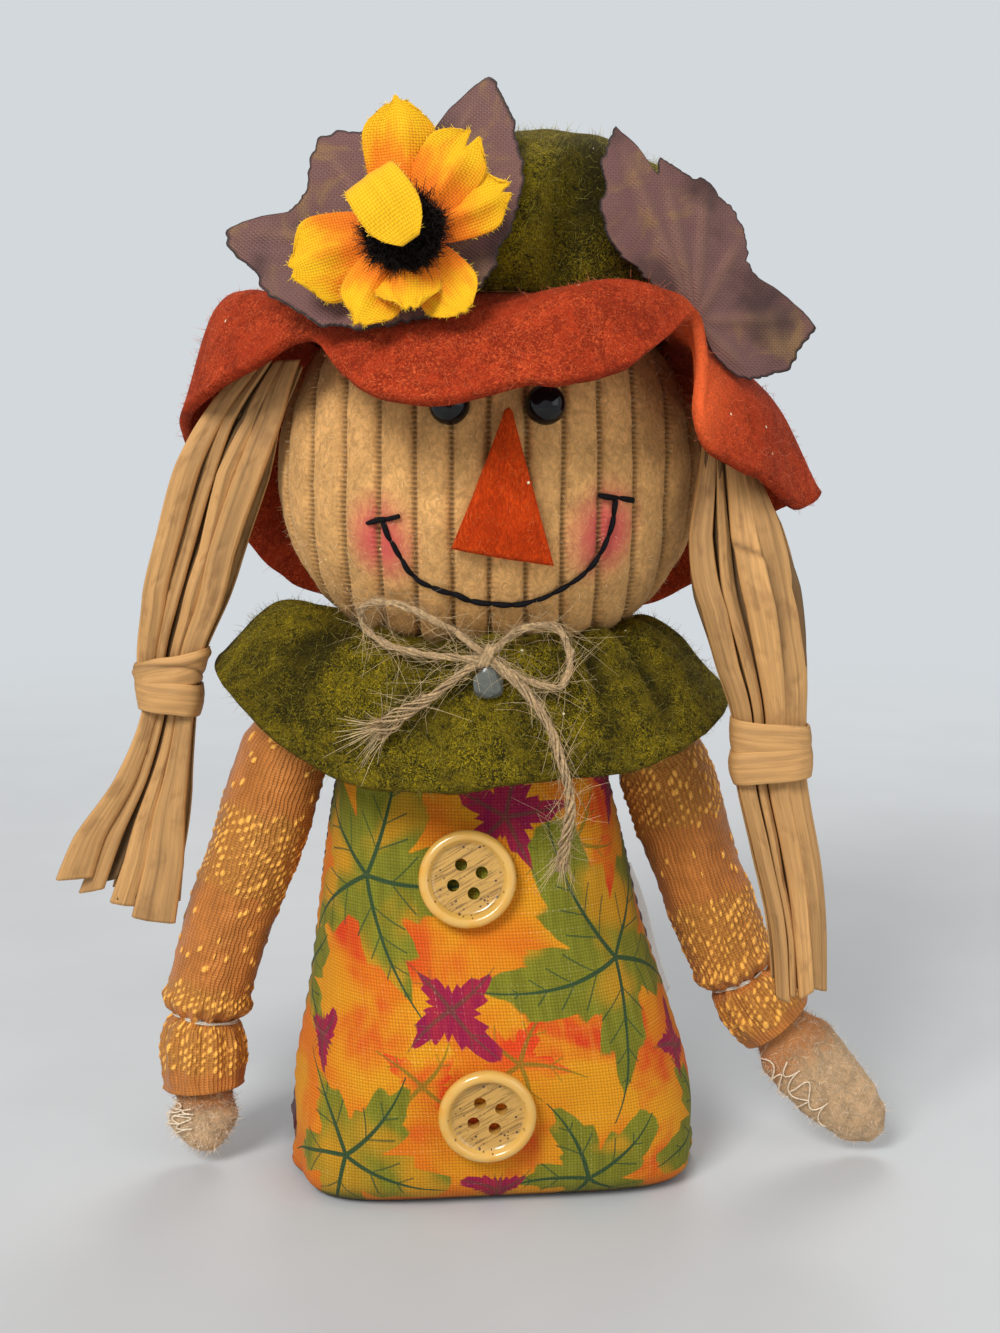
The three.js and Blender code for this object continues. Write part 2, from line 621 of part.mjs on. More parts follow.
const brimEdgeRise = around([
  [-170, -38], [-135, -34.5], [-110, -21], [-92, -13], [-72, -10], [-55, -7], [-38, -4.5], [-22, -11],
  [-8, -13], [8, -10.6], [21, -9.4], [31, -5.8], [39, -2.7], [45, -1.5], [51, -7], [57, -13],
  [64, -17.6], [72, -20], [80, -23.5], [87, -21.5], [96, -22], [110, -26], [135, -36], [170, -38],
]);
// Past the fold the edge hangs back under it: degrees by which the edge lies short of its own angle
const brimEdgeTurn = around([
  [-170, 0], [0, 0], [36, 0], [45, 0], [51, 4], [57, 13], [64, 17], [72, 13], [82, 5], [92, 0], [170, 0],
]);
const BRIM_TURNS = 44;
const BRIM_RINGS = 5;
function brimPlace(angle, share) {
  const inner = seamRadius - HAT_FELT;
  const middle = seamRadius + brimMidReach(angle);
  const edge = seamRadius + brimEdgeReach(angle);
  const radius = through([[0, inner], [0.5, middle], [1, edge]]);
  const rise = through([[0, 0], [0.5, brimMidRise(angle)], [1, brimEdgeRise(angle)]]);
  const turn = degrees(angle - brimEdgeTurn(angle) * Math.min(share, 1) ** 2);
  const reach = share > 1 ? 2 * radius(1) - radius(2 - share) : radius(share);
  const drop = share > 1 ? 2 * rise(1) - rise(2 - share) : rise(share);
  const y = -reach * Math.cos(turn);
  const seamY = -seamRadius * Math.cos(turn);
  return new THREE.Vector3(reach * Math.sin(turn), y, seamHeight(seamY) + drop);
}
piece(
  'hat_brim',
  sheet({ turns: BRIM_TURNS, rings: BRIM_RINGS, thickness: HAT_FELT, place: brimPlace, open: true }),
  FELT_RUST,
  1,
);
piece('hat_crown', crownPlaced([...crownInner.reverse(), ...crownOuter]), FELT_OLIVE, 1);

// Leaves: cut cloth with a lobed outline by angle from straight up, curled over the hat by its depth
function leaf({ middle, outline, depth, turns = 40, rings = 4, thickness = LEAF_CLOTH }) {
  const reach = around(outline);
  const [x, z] = middle;
  return sheet({
    turns,
    rings,
    thickness,
    place: (angle, share) => {
      const across = x + share * reach(angle) * Math.sin(degrees(angle));
      const upward = z + share * reach(angle) * Math.cos(degrees(angle));
      return new THREE.Vector3(across, depth(across, upward), upward);
    },
  });
}
const flowerZ = HEAD_Z + FLOWER_RISE;
const leafLeftMiddle = [FLOWER_X - 1, flowerZ + 1];
const leafLeftDepth = (x, z) => {
  const upward = z - leafLeftMiddle[1];
  const leftward = Math.max(leafLeftMiddle[0] - x, 0);
  const curl = 0.25 * upward + 0.012 * upward * Math.abs(upward) + 0.012 * leftward ** 2;
  return -seamRadius - LEAF_LEFT_STAND + curl - 0.03 * (x - leafLeftMiddle[0]);
};
piece(
  'leaf_left',
  leaf({
    middle: leafLeftMiddle,
    outline: [
      [-150, 13.3], [-132, 15.1], [-106, 18.1], [-88, 20.6], [-80, 13.4], [-66, 12], [-42, 14.9],
      [-20, 12.6], [4, 11.4], [18, 12.6], [29, 21.3], [41, 19.1], [56, 17], [73, 15], [98, 12.5],
      [125, 11.6], [178, 10.8],
    ],
    depth: leafLeftDepth,
  }),
  LEAF_COLOUR,
  0.7,
);
const leafRightMiddle = [24.7, HEAD_Z + 25.6];
const leafRightDepth = (x, z) => {
  const across = x - leafRightMiddle[0];
  const upward = z - leafRightMiddle[1];
  const curl = 0.42 * across + 0.1 * upward + 0.006 * (across ** 2 + upward ** 2);
  return -seamRadius + LEAF_RIGHT_SET_BACK + curl;
};
piece(
  'leaf_right',
  leaf({
    middle: leafRightMiddle,
    outline: [
      [-165, 3.6], [-129, 4], [-94, 6.6], [-76, 10.3], [-68, 11.7], [-51, 14], [-37, 17.3], [-30, 18.8],
      [-22, 12], [-8, 10.9], [7, 10.3], [32, 8.6], [60, 7.9], [85, 7.4], [99, 9.4], [113, 18], [126, 17.6],
      [134, 18.2], [149, 16.3], [158, 12.6], [168, 6.4], [179, 3.8],
    ],
    depth: leafRightDepth,
  }),
  LEAF_COLOUR,
  0.7,
);

// Sunflower: two stamped layers of cloth petals on a green calyx, with a fuzzy centre
const FLOWER_HUB = 4.6;
function petals(layer, tips) {
  const outline = Array.from({ length: 37 }, (_, i) => {
    const angle = -180 + 10 * i;
    const reaches = tips.map(([tip, reach, half]) => {
      const away = Math.abs(THREE.MathUtils.euclideanModulo(angle - tip + 180, 360) - 180) / half;
      return away < 1 ? FLOWER_HUB + (reach - FLOWER_HUB) * Math.sqrt(1 - away ** 2) : FLOWER_HUB;
    });
    return [angle, Math.max(...reaches)];
  });
  return leaf({
    middle: [FLOWER_X, flowerZ],
    outline: outline.slice(0, -1),
    turns: 36,
    rings: 3,
    thickness: PETAL_CLOTH,
    depth: (x, z) => layer - 0.004 * ((x - FLOWER_X) ** 2 + (z - flowerZ) ** 2),
  });
}
const calyxBack = leafLeftDepth(FLOWER_X, flowerZ) - LEAF_CLOTH / 2 - 3 * SEAT_GAP;
const backLayer = calyxBack - CALYX_DEPTH - SEAT_GAP - PETAL_CLOTH / 2;
const frontLayer = backLayer - PETAL_CLOTH - SEAT_GAP;
const calyxProfile = [[0, 0], [0.3, 0], [0.5, 0.5], [0.5, 1], [0, 1]].map(
  ([r, h]) => new THREE.Vector2(r * CALYX_DIAMETER, h * CALYX_DEPTH),
);
const calyx = new THREE.LatheGeometry(calyxProfile, 16).scale(1, -1, 1);
calyx.translate(FLOWER_X, calyxBack, flowerZ);
const stemTip = new THREE.Vector3(FLOWER_X - 5.6, calyxBack - 0.75 * CALYX_DEPTH, flowerZ + 4.6);
const stemRoot = new THREE.Vector3(FLOWER_X, calyxBack - 0.75 * CALYX_DEPTH, flowerZ);
const stem = cord([stemRoot, stemRoot.clone().lerp(stemTip, 0.5), stemTip], 1.6, 8, 3);
piece('flower_calyx', joined(facingOut(welded(calyx)), stem), '#3f6b2a', 0.5);
piece('petals_back', petals(backLayer, [[-105, 14.6, 34], [-3, 15, 30], [67, 13, 30], [134, 11, 30]]),
  PETAL_COLOUR, 0.8);
piece('petals_front', petals(frontLayer, [[-158, 10.4, 34], [-50, 8.5, 30], [33, 15, 28], [168, 8.4, 26]]),
  PETAL_COLOUR, 0.8);
const centreOutline = [[0, 0], [1, 0], [0.97, 0.3], [0.8, 0.68], [0.45, 0.93], [0, 1]].map(
  ([r, h]) => new THREE.Vector2((r * FLOWER_CENTRE_DIAMETER) / 2, h * FLOWER_CENTRE_DEPTH),
);
const centre = new THREE.LatheGeometry(centreOutline, 18).scale(1, -1, 1);
centre.translate(FLOWER_X, frontLayer - PETAL_CLOTH / 2 - SEAT_GAP, flowerZ);
piece('flower_centre', facingOut(welded(centre)), '#171010', 1);

// Collar: a gathered felt ruffle, by angle from the front: how far it reaches out from the neck and rises
const collarMidReach = around([
  [-170, 8.5], [-140, 8.5], [-115, 10.5], [-90, 15.5], [-65, 13.5], [-42, 9.5], [-20, 9.5], [0, 9.5],
  [22, 9.5], [45, 9.5], [66, 10], [90, 10.5], [115, 9.5], [145, 8.5], [170, 8.5],
]);
const collarMidRise = around([
  [-170, 3.6], [-140, 3.6], [-115, 4.6], [-90, 7.4], [-65, 5.8], [-42, 4], [-20, 4], [0, 4.2], [22, 4],
  [45, 4], [66, 4.4], [90, 5.2], [115, 4.2], [145, 3.6], [170, 3.6],
]);
const collarEdgeReach = around([
  [-170, 16.5], [-140, 18.5], [-115, 22.5], [-92, 25.1], [-65, 25], [-42, 19.5], [-20, 17.5], [0, 17],
  [22, 18], [45, 19.5], [66, 20], [90, 21.5], [115, 19.5], [145, 17.5], [170, 16.5],
]);
const collarEdgeRise = around([
  [-170, -9.5], [-140, -7.5], [-115, -3], [-92, 0.5], [-65, -3.4], [-42, -11], [-20, -12.6],
  [0, -12.2], [22, -11.2], [45, -10], [66, -8], [90, -5], [115, -6], [145, -8.5], [170, -9.5],
]);
function collarPlace(angle, share) {
  const neck = COLLAR_NECK_DIAMETER / 2;
  const middle = neck + collarMidReach(angle);
  const edge = neck + collarEdgeReach(angle);
  const radius = through([[0, neck], [0.5, middle], [1, edge]]);
  const rise = through([[0, -0.9], [0.5, collarMidRise(angle)], [1, collarEdgeRise(angle)]]);
  const turn = degrees(angle);
  const reach = share > 1 ? 2 * radius(1) - radius(2 - share) : radius(share);
  const height = share > 1 ? 2 * rise(1) - rise(2 - share) : rise(share);
  return new THREE.Vector3(reach * Math.sin(turn), -reach * Math.cos(turn), BODY_HEIGHT + height);
}
const collar = piece(
  'collar',
  sheet({ turns: 44, rings: 5, thickness: COLLAR_FELT, place: collarPlace, open: true }),
  FELT_OLIVE,
  1,
);

// Twine bow: one length of jute laid on the collar and the chin, knotted over a blob of hot glue
const BOW_X = -0.1;
const bowZ = BODY_HEIGHT + 3.8;
function onDoll([x, rise, lift]) {
  const near = TWINE_DIAMETER;
  const offsets = [[0, 0], [near, 0], [-near, 0], [0, near], [0, -near]];
  const across = BOW_X + x;
  const height = bowZ + rise;
  const spots = offsets.map(([dx, dz]) => frontOf([collar, headCover], across + dx, height + dz));
  const depths = spots.map((spot) => (spot ? spot.point.y : -COLLAR_NECK_DIAMETER / 2));
  return new THREE.Vector3(across, Math.min(...depths) - TWINE_DIAMETER / 2 - lift, height);
}
function laid(route) {
  const points = route.map((point) => new THREE.Vector3(...point));
  const smooth = new THREE.CatmullRomCurve3(points, false, 'centripetal');
  return smooth.getSpacedPoints(2 * route.length).map((point) => onDoll(point.toArray()));
}
const LOOP_LEFT = [
  [0, 0, 1.2], [-5.4, 3.4, 0.9], [-11, 6, 0.9], [-15.4, 5.8, 0.9], [-16.4, 3.4, 0.9],
  [-13.6, 1.2, 0.9], [-8, 0, 0.6], [0, -0.4, 1.2],
];
const LOOP_RIGHT = [
  [0, 0, 1.2], [4.4, 3, 0.9], [8.4, 3.2, 0.9], [10.2, 0.6, 0.9], [9.4, -3.6, 0.9], [6, -3.4, 0.6],
  [0, -0.4, 1.2],
];
const TAIL_LEFT = [[0, 0, 1.2], [-5.6, -4, 0.4], [-10, -7, 0.3], [-14, -9.4, 0.4]];
const TAIL_RIGHT = [[0, 0, 1.2], [5, -4.4, 1.6], [8, -9.2, 0.6], [9.4, -13.4, 0.9]];
const TAIL_HANG = [[10.2, -18, 1.2], [9.8, -22.6, 2.4], [9.2, -27, 4]];
const tailRight = laid(TAIL_RIGHT);
const edgeY = tailRight[tailRight.length - 1].y;
const hanging = TAIL_HANG.map(
  ([x, rise, inward]) => new THREE.Vector3(BOW_X + x, edgeY + inward, bowZ + rise),
);
const knotPoint = onDoll([0, 0, 1.2]);
const knot = new THREE.SphereGeometry(1.25 * TWINE_DIAMETER, 12, 8);
knot.translate(knotPoint.x, knotPoint.y, knotPoint.z);
piece(
  'twine_bow',
  joined(
    knot,
    cord(laid(LOOP_LEFT), TWINE_DIAMETER, 8, 15),
    cord(laid(LOOP_RIGHT), TWINE_DIAMETER, 8, 12),
    cord(laid(TAIL_LEFT), TWINE_DIAMETER, 8, 7),
    cord([...tailRight, ...hanging], TWINE_DIAMETER, 8, 13),
  ),
  '#b08a56',
  0.9,
);
const glueSpot = onDoll([0.2, -3.9, 0]);
const glue = new THREE.SphereGeometry(GLUE_DIAMETER / 2, 12, 8).scale(1, 0.45, 0.8);
piece('glue_blob', glue.translate(glueSpot.x, glueSpot.y, glueSpot.z), '#9a9a96', 0.2);

// Arms: knit tubes pinched at the wrist, each hung from the body's side by a thread shank
const SHOULDER_HEIGHT = BODY_HEIGHT - SHOULDER_DROP;
const shoulderSide = (side) =>
  bodyMiddle(SHOULDER_HEIGHT) + side * (bodyHalfWidth(SHOULDER_HEIGHT) + SHANK_LENGTH + SEAT_GAP);
const SLEEVE_SIDES = 12;
const SLEEVE_RINGS = 15;
const WRIST_SHARE = 0.8;
const FILL_FROM = 0.08;
const FILL_TO = 0.9;

// A block that holds everything past a share of a curve
function blockPast(curve, share) {
  const middle = curve.getPointAt(share);
  const turn = new THREE.Quaternion().setFromUnitVectors(UP, curve.getTangentAt(share));
  const beyond = new THREE.BoxGeometry(far, far, far).translate(0, 0, far / 2);
  return beyond.applyQuaternion(turn).translate(middle.x, middle.y, middle.z);
}

// Routes run down from the shoulder: how far out, how far forward, and the drop as a share of the arm's reach
function arm(name, side, shankY, sleeveRoute, handRoute) {
  const face = shoulderSide(side);
  const route = ([out, forward, drop]) =>
    new THREE.Vector3(face + side * out, -forward, SHOULDER_HEIGHT - drop * ARM_REACH);
  const sleeveCurve = new THREE.CatmullRomCurve3(sleeveRoute.map(route));
  const handCurve = new THREE.CatmullRomCurve3(handRoute.map(route));
  const radius = through([
    [0, 0.1 * SHOULDER_DIAMETER],
    [0.06, 0.36 * SHOULDER_DIAMETER],
    [0.16, SHOULDER_DIAMETER / 2],
    [0.46, ELBOW_DIAMETER / 2],
    [WRIST_SHARE - 0.08, 0.99 * (CUFF_DIAMETER / 2)],
    [WRIST_SHARE, WRIST_DIAMETER / 2],
    [WRIST_SHARE + 0.08, CUFF_DIAMETER / 2],
    [1, 0.94 * (CUFF_DIAMETER / 2)],
  ]);
  const sleeve = { curve: sleeveCurve, sides: SLEEVE_SIDES, radius };
  const outward = block(new THREE.Vector3(face, -far, -far), new THREE.Vector3(face + side * far, far, far));
  const shell = stuffed({ ...sleeve, from: 0, to: 1, rings: SLEEVE_RINGS, wall: SLEEVE_CLOTH });
  piece(`sleeve_${name}`, common(shell, outward), KNIT_COLOUR, 0.85);
  const inset = SLEEVE_CLOTH + FILLING_GAP;
  const loose = inset + FILLING_GAP / 2;
  const fibre = stuffed({ ...sleeve, from: FILL_FROM, to: 1, rings: SLEEVE_RINGS, inset: loose });
  const tip = sleeveCurve.getPointAt(FILL_TO);
  const beyond = blockPast(sleeveCurve, FILL_TO);
  const inner = block(
    new THREE.Vector3(face + side * inset, -far, tip.z - far),
    new THREE.Vector3(face + side * far, far, far),
  );
  piece(`arm_filling_${name}`, cut(common(fibre, inner), beyond), FIBRE, 1);

  const wrist = sleeveCurve.getPointAt(WRIST_SHARE);
  const turn = new THREE.Quaternion().setFromUnitVectors(UP, sleeveCurve.getTangentAt(WRIST_SHARE));
  const loopRadius = WRIST_DIAMETER / 2 + 1.5 * SEAT_GAP + WRIST_THREAD / 2;
  const thread = new THREE.TorusGeometry(loopRadius, WRIST_THREAD / 2, 6, 20).applyQuaternion(turn);
  piece(`wrist_thread_${name}`, thread.translate(wrist.x, wrist.y, wrist.z), '#efece4', 0.8);

  const tucked = 0.94 * (CUFF_DIAMETER / 2) - SLEEVE_CLOTH - SEAT_GAP;
  const handRadius = through([
    [0, 0.75 * tucked],
    [0.12, 0.86 * tucked],
    [0.3, HAND_THICKNESS / 2],
    [0.62, 0.46 * HAND_THICKNESS],
    [0.9, 0.26 * HAND_THICKNESS],
    [1, 0.1 * HAND_THICKNESS],
  ]);
  const spread = through([[0, 1], [0.2, 1.1], [0.45, HAND_WIDTH / HAND_THICKNESS], [1, 1.3]]);
  const hand = { curve: handCurve, sides: 14, rings: 9, radius: handRadius, width: spread };
  piece(`hand_${name}`, stuffed({ ...hand, from: 0, to: 1 }), '#c9a26e', 1);

  const shank = new THREE.CylinderGeometry(SHANK_DIAMETER / 2, SHANK_DIAMETER / 2, SHANK_LENGTH, 12);
  shank.rotateZ(Math.PI / 2).translate(face - side * (SEAT_GAP + SHANK_LENGTH / 2), shankY, SHOULDER_HEIGHT);
  piece(`shoulder_shank_${name}`, cut(shank, bagSolid(-SEAT_GAP)), '#d8d2c4', 0.8);
}
arm(
  'left',
  -1,
  -4.4,
  [[1, 3, -0.051], [6, 3.2, 0.059], [9.6, 3.8, 0.239], [13.9, 4.6, 0.434], [17.4, 5.6, 0.645],
    [18.2, 6.4, 0.783], [18, 7, 0.882]],
  [[18, 6.9, 0.852], [18, 7.2, 0.916], [17.6, 8, 1]],
);
arm(
  'right',
  1,
  -3,
  [[0.6, 2.4, -0.025], [5.6, 2.6, 0.088], [9.4, 2.8, 0.264], [12.8, 3, 0.434], [17.6, 3.4, 0.613],
    [23.4, 3.8, 0.734]],
  [[21.8, 3.8, 0.704], [28, 4.2, 0.835], [36.6, 4.8, 0.987]],
);

// Pigtails: folded raffia ribbons side by side, bound by a wrapped tie
// Each station is a rise above the head's middle, the outer and the inner corner as x and y, and a thickness.
const PIGTAIL_LEFT = [
  [14.5, [-30.5, -8.5], [-24, -12.2], 2.6],
  [8.5, [-36, -8.5], [-26.4, -12], 3.4],
  [1.5, [-40, -8], [-28.9, -10.6], 4.4],
  [-6.7, [-42.8, -7.2], [-32, -9], 5],
  [-17.5, [-45.7, -7], [-35.8, -7.6], 5],
  [-25, [-46.9, -7], [-38.9, -7.2], 4.6],
  [-31.5, [-46.4, -7], [-39.9, -7], 4.6],
  [-40.5, [-49.9, -7], [-40.9, -7], 4.6],
  [-49.5, [-55.8, -7], [-41.9, -7], 4.4],
  [-61.5, [-61.6, -7], [-43.9, -7], 4.2],
];
const PIGTAIL_RIGHT = [
  [10, [31, -12], [26.2, -13.8], 2.6],
  [5, [33.2, -12.6], [27.6, -14.2], 3],
  [0.5, [34.6, -13.2], [27.2, -15], 4],
  [-7.1, [37.5, -15], [26.4, -16], 5],
  [-14.8, [39.6, -16], [26.6, -16.5], 5],
  [-23.9, [40.9, -16], [29.6, -16.5], 5],
  [-31.1, [41, -16], [32.1, -16], 4.6],
  [-39.1, [41.2, -16], [32.7, -16], 4.6],
  [-49.1, [43, -16], [35, -16], 4.6],
  [-58.5, [44.2, -16], [37.2, -16], 4.4],
  [-69.5, [44.8, -16], [38.4, -16], 4.2],
];
function bundle(stations) {
  const rising = [...stations].reverse();
  const read = (pick) => through(rising.map((station) => [HEAD_Z + station[0], pick(station)]));
  const outer = [read(([, [x]]) => x), read(([, [, y]]) => y)];
  const inner = [read(([, , [x]]) => x), read(([, , [, y]]) => y)];
  const thickness = read(([, , , depth]) => depth);
  return (height) => ({
    outer: new THREE.Vector3(outer[0](height), outer[1](height), height),
    inner: new THREE.Vector3(inner[0](height), inner[1](height), height),
    thickness: thickness(height),
  });
}
// A strip of the bundle between two shares of its width, an eight-sided section with narrow edge bevels
function strip(at, top, bottom, from, to, rings, grow = 0) {
  const heights = Array.from({ length: rings + 1 }, (_, i) => lerp(bottom, top, i / rings));
  const levels = heights.map((height) => new THREE.Vector2(1, height));
  const profile = [new THREE.Vector2(0, bottom), ...levels, new THREE.Vector2(0, top)];
  return bent(new THREE.LatheGeometry(profile, 8, Math.PI / 8), (v) => {
    const { outer, inner, thickness } = at(v.y);
    const across = new THREE.Vector3().subVectors(inner, outer);
    const halfWidth = (across.length() * (to - from)) / 2 + grow;
    const halfThickness = thickness / 2 + grow;
    const onEdge = Math.abs(v.x) > Math.abs(v.z);
    const side = Math.sign(v.x) * (onEdge ? halfWidth : halfWidth - RIBBON_BEVEL);
    const forward = Math.sign(v.z) * (onEdge ? halfThickness - RIBBON_BEVEL : halfThickness);
    const middle = outer.clone().lerp(inner, (from + to) / 2);
    if (Math.hypot(v.x, v.z) < 0.5) return middle;
    across.normalize();
    const facing = across.clone().cross(UP).normalize();
    return middle.addScaledVector(across, side).addScaledVector(facing, forward);
  });
}
function pigtail(name, stations, tieRise, cutOuter, cutInner) {
  const at = bundle(stations);
  const top = HEAD_Z + stations[0][0];
  const tieTop = HEAD_Z + tieRise;
  const tieBottom = tieTop - TIE_WIDTH;
  for (let i = 0; i < RIBBONS; i += 1) {
    const trim = RIBBON_GAP / 2 / at(tieTop).outer.distanceTo(at(tieTop).inner);
    const bottom = HEAD_Z + lerp(cutOuter, cutInner, i / (RIBBONS - 1));
    const ribbon = strip(at, top, bottom, i / RIBBONS + trim, (i + 1) / RIBBONS - trim, 10);
    piece(`raffia_${name}_${i + 1}`, ribbon, RAFFIA_COLOUR, 0.6);
  }
  const inside = strip(at, tieTop + 1, tieBottom - 1, 0, 1, 4, 2 * SEAT_GAP);
  const outside = strip(at, tieTop, tieBottom, 0, 1, 3, 2 * SEAT_GAP + TIE_THICKNESS);
  piece(`raffia_tie_${name}`, cut(outside, inside), RAFFIA_COLOUR, 0.6);
}
pigtail('left', PIGTAIL_LEFT, -24.4, -55, -61);
pigtail('right', PIGTAIL_RIGHT, -31.9, -67.9, -69.1);

export default bodies;
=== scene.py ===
import math

import bpy
import numpy as np
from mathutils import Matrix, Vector
from mathutils.bvhtree import BVHTree


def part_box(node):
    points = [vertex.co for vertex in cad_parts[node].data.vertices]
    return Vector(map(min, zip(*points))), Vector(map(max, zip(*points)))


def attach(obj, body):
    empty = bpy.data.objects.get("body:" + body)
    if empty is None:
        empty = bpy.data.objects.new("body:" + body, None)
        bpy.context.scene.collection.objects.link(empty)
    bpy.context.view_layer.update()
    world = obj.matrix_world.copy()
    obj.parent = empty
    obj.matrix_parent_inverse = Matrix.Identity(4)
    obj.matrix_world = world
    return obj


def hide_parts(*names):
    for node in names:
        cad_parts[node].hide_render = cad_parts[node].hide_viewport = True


bl_info = {
    "name": "Scarecrow Shelf Doll",
    "version": (1, 0, 0),
    "blender": (4, 5, 0),
    "location": "View3D > Sidebar > Doll",
    "description": "Dresses a stuffed scarecrow doll in print cotton, corduroy, felt, knit, twine and raffia",
    "category": "Object",
}

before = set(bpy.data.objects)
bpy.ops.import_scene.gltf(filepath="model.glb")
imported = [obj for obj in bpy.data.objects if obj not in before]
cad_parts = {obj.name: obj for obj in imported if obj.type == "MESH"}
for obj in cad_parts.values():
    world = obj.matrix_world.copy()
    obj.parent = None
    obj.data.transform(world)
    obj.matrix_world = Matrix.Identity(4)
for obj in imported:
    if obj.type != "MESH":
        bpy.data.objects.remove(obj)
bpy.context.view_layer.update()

MM = 0.001
UP = np.array([0.0, 0.0, 1.0])
FRONT = np.array([0.0, -1.0, 0.0])

# Sizes shared with the frame, in millimetres
BODY_HEIGHT = 69.6
NECK_WIDTH = 18.0
HEAD_WIDTH, HEAD_DEPTH, HEAD_HEIGHT = 56.8, 55.0, 54.0
HEAD_Z = BODY_HEIGHT + 0.3 + HEAD_HEIGHT / 2 * math.sqrt(1 - (NECK_WIDTH / HEAD_WIDTH) ** 2)
SEAM_RADIUS = HEAD_WIDTH / 2 - 2.9
HAT_Z = HEAD_Z + HEAD_HEIGHT / 2 - 8.8
HAT_TILT = 0.125
CROWN_HEIGHT = 24.6
FLOWER_X, FLOWER_Z = -9.3, HEAD_Z + 27.6
COLLAR_NECK = 11.5
BOW_X, BOW_Z = -0.1, BODY_HEIGHT + 3.8
SHOULDER_Z = BODY_HEIGHT - 8.6
ARM_REACH = 59.4
LEAF_LEFT_MIDDLE = (FLOWER_X - 1, FLOWER_Z + 1)
LEAF_RIGHT_MIDDLE = (24.7, HEAD_Z + 25.6)
FLOOR_GAP = 0.1
EYE_RADIUS = 2.5

# Thicknesses of cloth and paper, in millimetres
COTTON, BASE_COTTON, TAPE = 0.6, 0.7, 0.32
HAT_FELT, NOSE_FELT = 1.5, 1.1
LEAF_CLOTH, PETAL_CLOTH = 0.4, 0.22
RAFFIA, TIE_RAFFIA = 0.22, 0.35

TURN = 2 * math.pi
COPY_CUTS = 2  # how often a copied solid is subdivided


# Curves and noise

def through(stations):
    """A smooth curve through [position, value] stations, with positions rising."""
    spots, values = np.array(stations, float).T

    def curve(position):
        i = np.clip(np.searchsorted(spots, position, side="right") - 1, 0, len(spots) - 2)
        before, after = np.maximum(i - 1, 0), np.minimum(i + 2, len(spots) - 1)
        span = spots[i + 1] - spots[i]
        u = np.clip((position - spots[i]) / span, 0, 1)
        leave = (values[i + 1] - values[before]) / (spots[i + 1] - spots[before]) * span
        arrive = (values[after] - values[i]) / (spots[after] - spots[i]) * span
        flat = values[i] + (values[i + 1] - values[i]) * u * u * (3 - 2 * u)
        return flat + u * (1 - u) ** 2 * leave + u * u * (u - 1) * arrive

    return curve


def around(stations):
    """The same round a full turn, with stations in degrees from -180 to 180."""
    curve = through([(a + turn, value) for turn in (-360, 0, 360) for a, value in stations])
    return lambda angle: curve((np.asarray(angle) + 180) % 360 - 180)


def bowed(share, inner, middle, outer):
    """A smooth curve through three values at shares 0, a half and 1."""
    first = share <= 0.5
    u = np.where(first, 2 * share, 2 * share - 1)
    low, high = np.where(first, inner, middle), np.where(first, middle, outer)
    half = (outer - inner) / 2
    leave, arrive = np.where(first, middle - inner, half), np.where(first, half, outer - middle)
    return low + (high - low) * u * u * (3 - 2 * u) + u * (1 - u) ** 2 * leave + u * u * (u - 1) * arrive


def ease(low, high, value):
    """Rises smoothly from 0 at low to 1 at high."""
    share = np.clip((np.asarray(value, float) - low) / (high - low), 0, 1)
    return share * share * (3 - 2 * share)


def bump(value, middle, width):
    """A smooth hump of height 1 round a middle."""
    return np.exp(-(((np.asarray(value) - middle) / width) ** 2))


def arch(share):
    """Rises from 0 to 1 and falls back over shares 0 to 1."""
    return np.sin(math.pi * share)


def signed(value, power):
    """A power that keeps the value's sign."""
    return np.sign(value) * np.abs(value) ** power


def noise(spots, size, seed):
    """Smooth noise from -1 to 1 over spots in millimetres, with lumps of about that size."""
    spots = np.asarray(spots, float)
    scaled = spots.reshape(-1, 3) / size + 31.7 * seed + 500
    cell = np.floor(scaled).astype(np.int64)
    part = scaled - cell
    part = part * part * (3 - 2 * part)
    total = np.zeros(len(scaled))
    for corner in range(8):
        step = np.array([corner & 1, corner >> 1 & 1, corner >> 2 & 1])
        x, y, z = (cell + step).T
        key = (x * 374761393 + y * 668265263 + z * 1274126177) & 0xFFFFFFFF
        key = ((key ^ key >> 13) * 1274126177) & 0xFFFFFFFF
        value = (key ^ key >> 16) / 2**31 - 1
        weight = np.where(step, part, 1 - part).prod(1)
        total += value * weight
    return total.reshape(spots.shape[:-1])


def points(*parts):
    """Points from their parts across, deep and up."""
    return np.stack(parts, -1)


def globe(u, v):
    """Three directions of a unit ball: two round the pole at v = 0, and the one along it."""
    turn, fall = TURN * u, math.pi * v
    return np.sin(fall) * np.cos(turn), np.sin(fall) * np.sin(turn), np.cos(fall)


def compass(u):
    """Degrees from the front, for a share of the way round from the back."""
    return 360 * u - 180


def unit(vectors):
    return vectors / np.maximum(np.linalg.norm(vectors, axis=-1, keepdims=True), 1e-9)


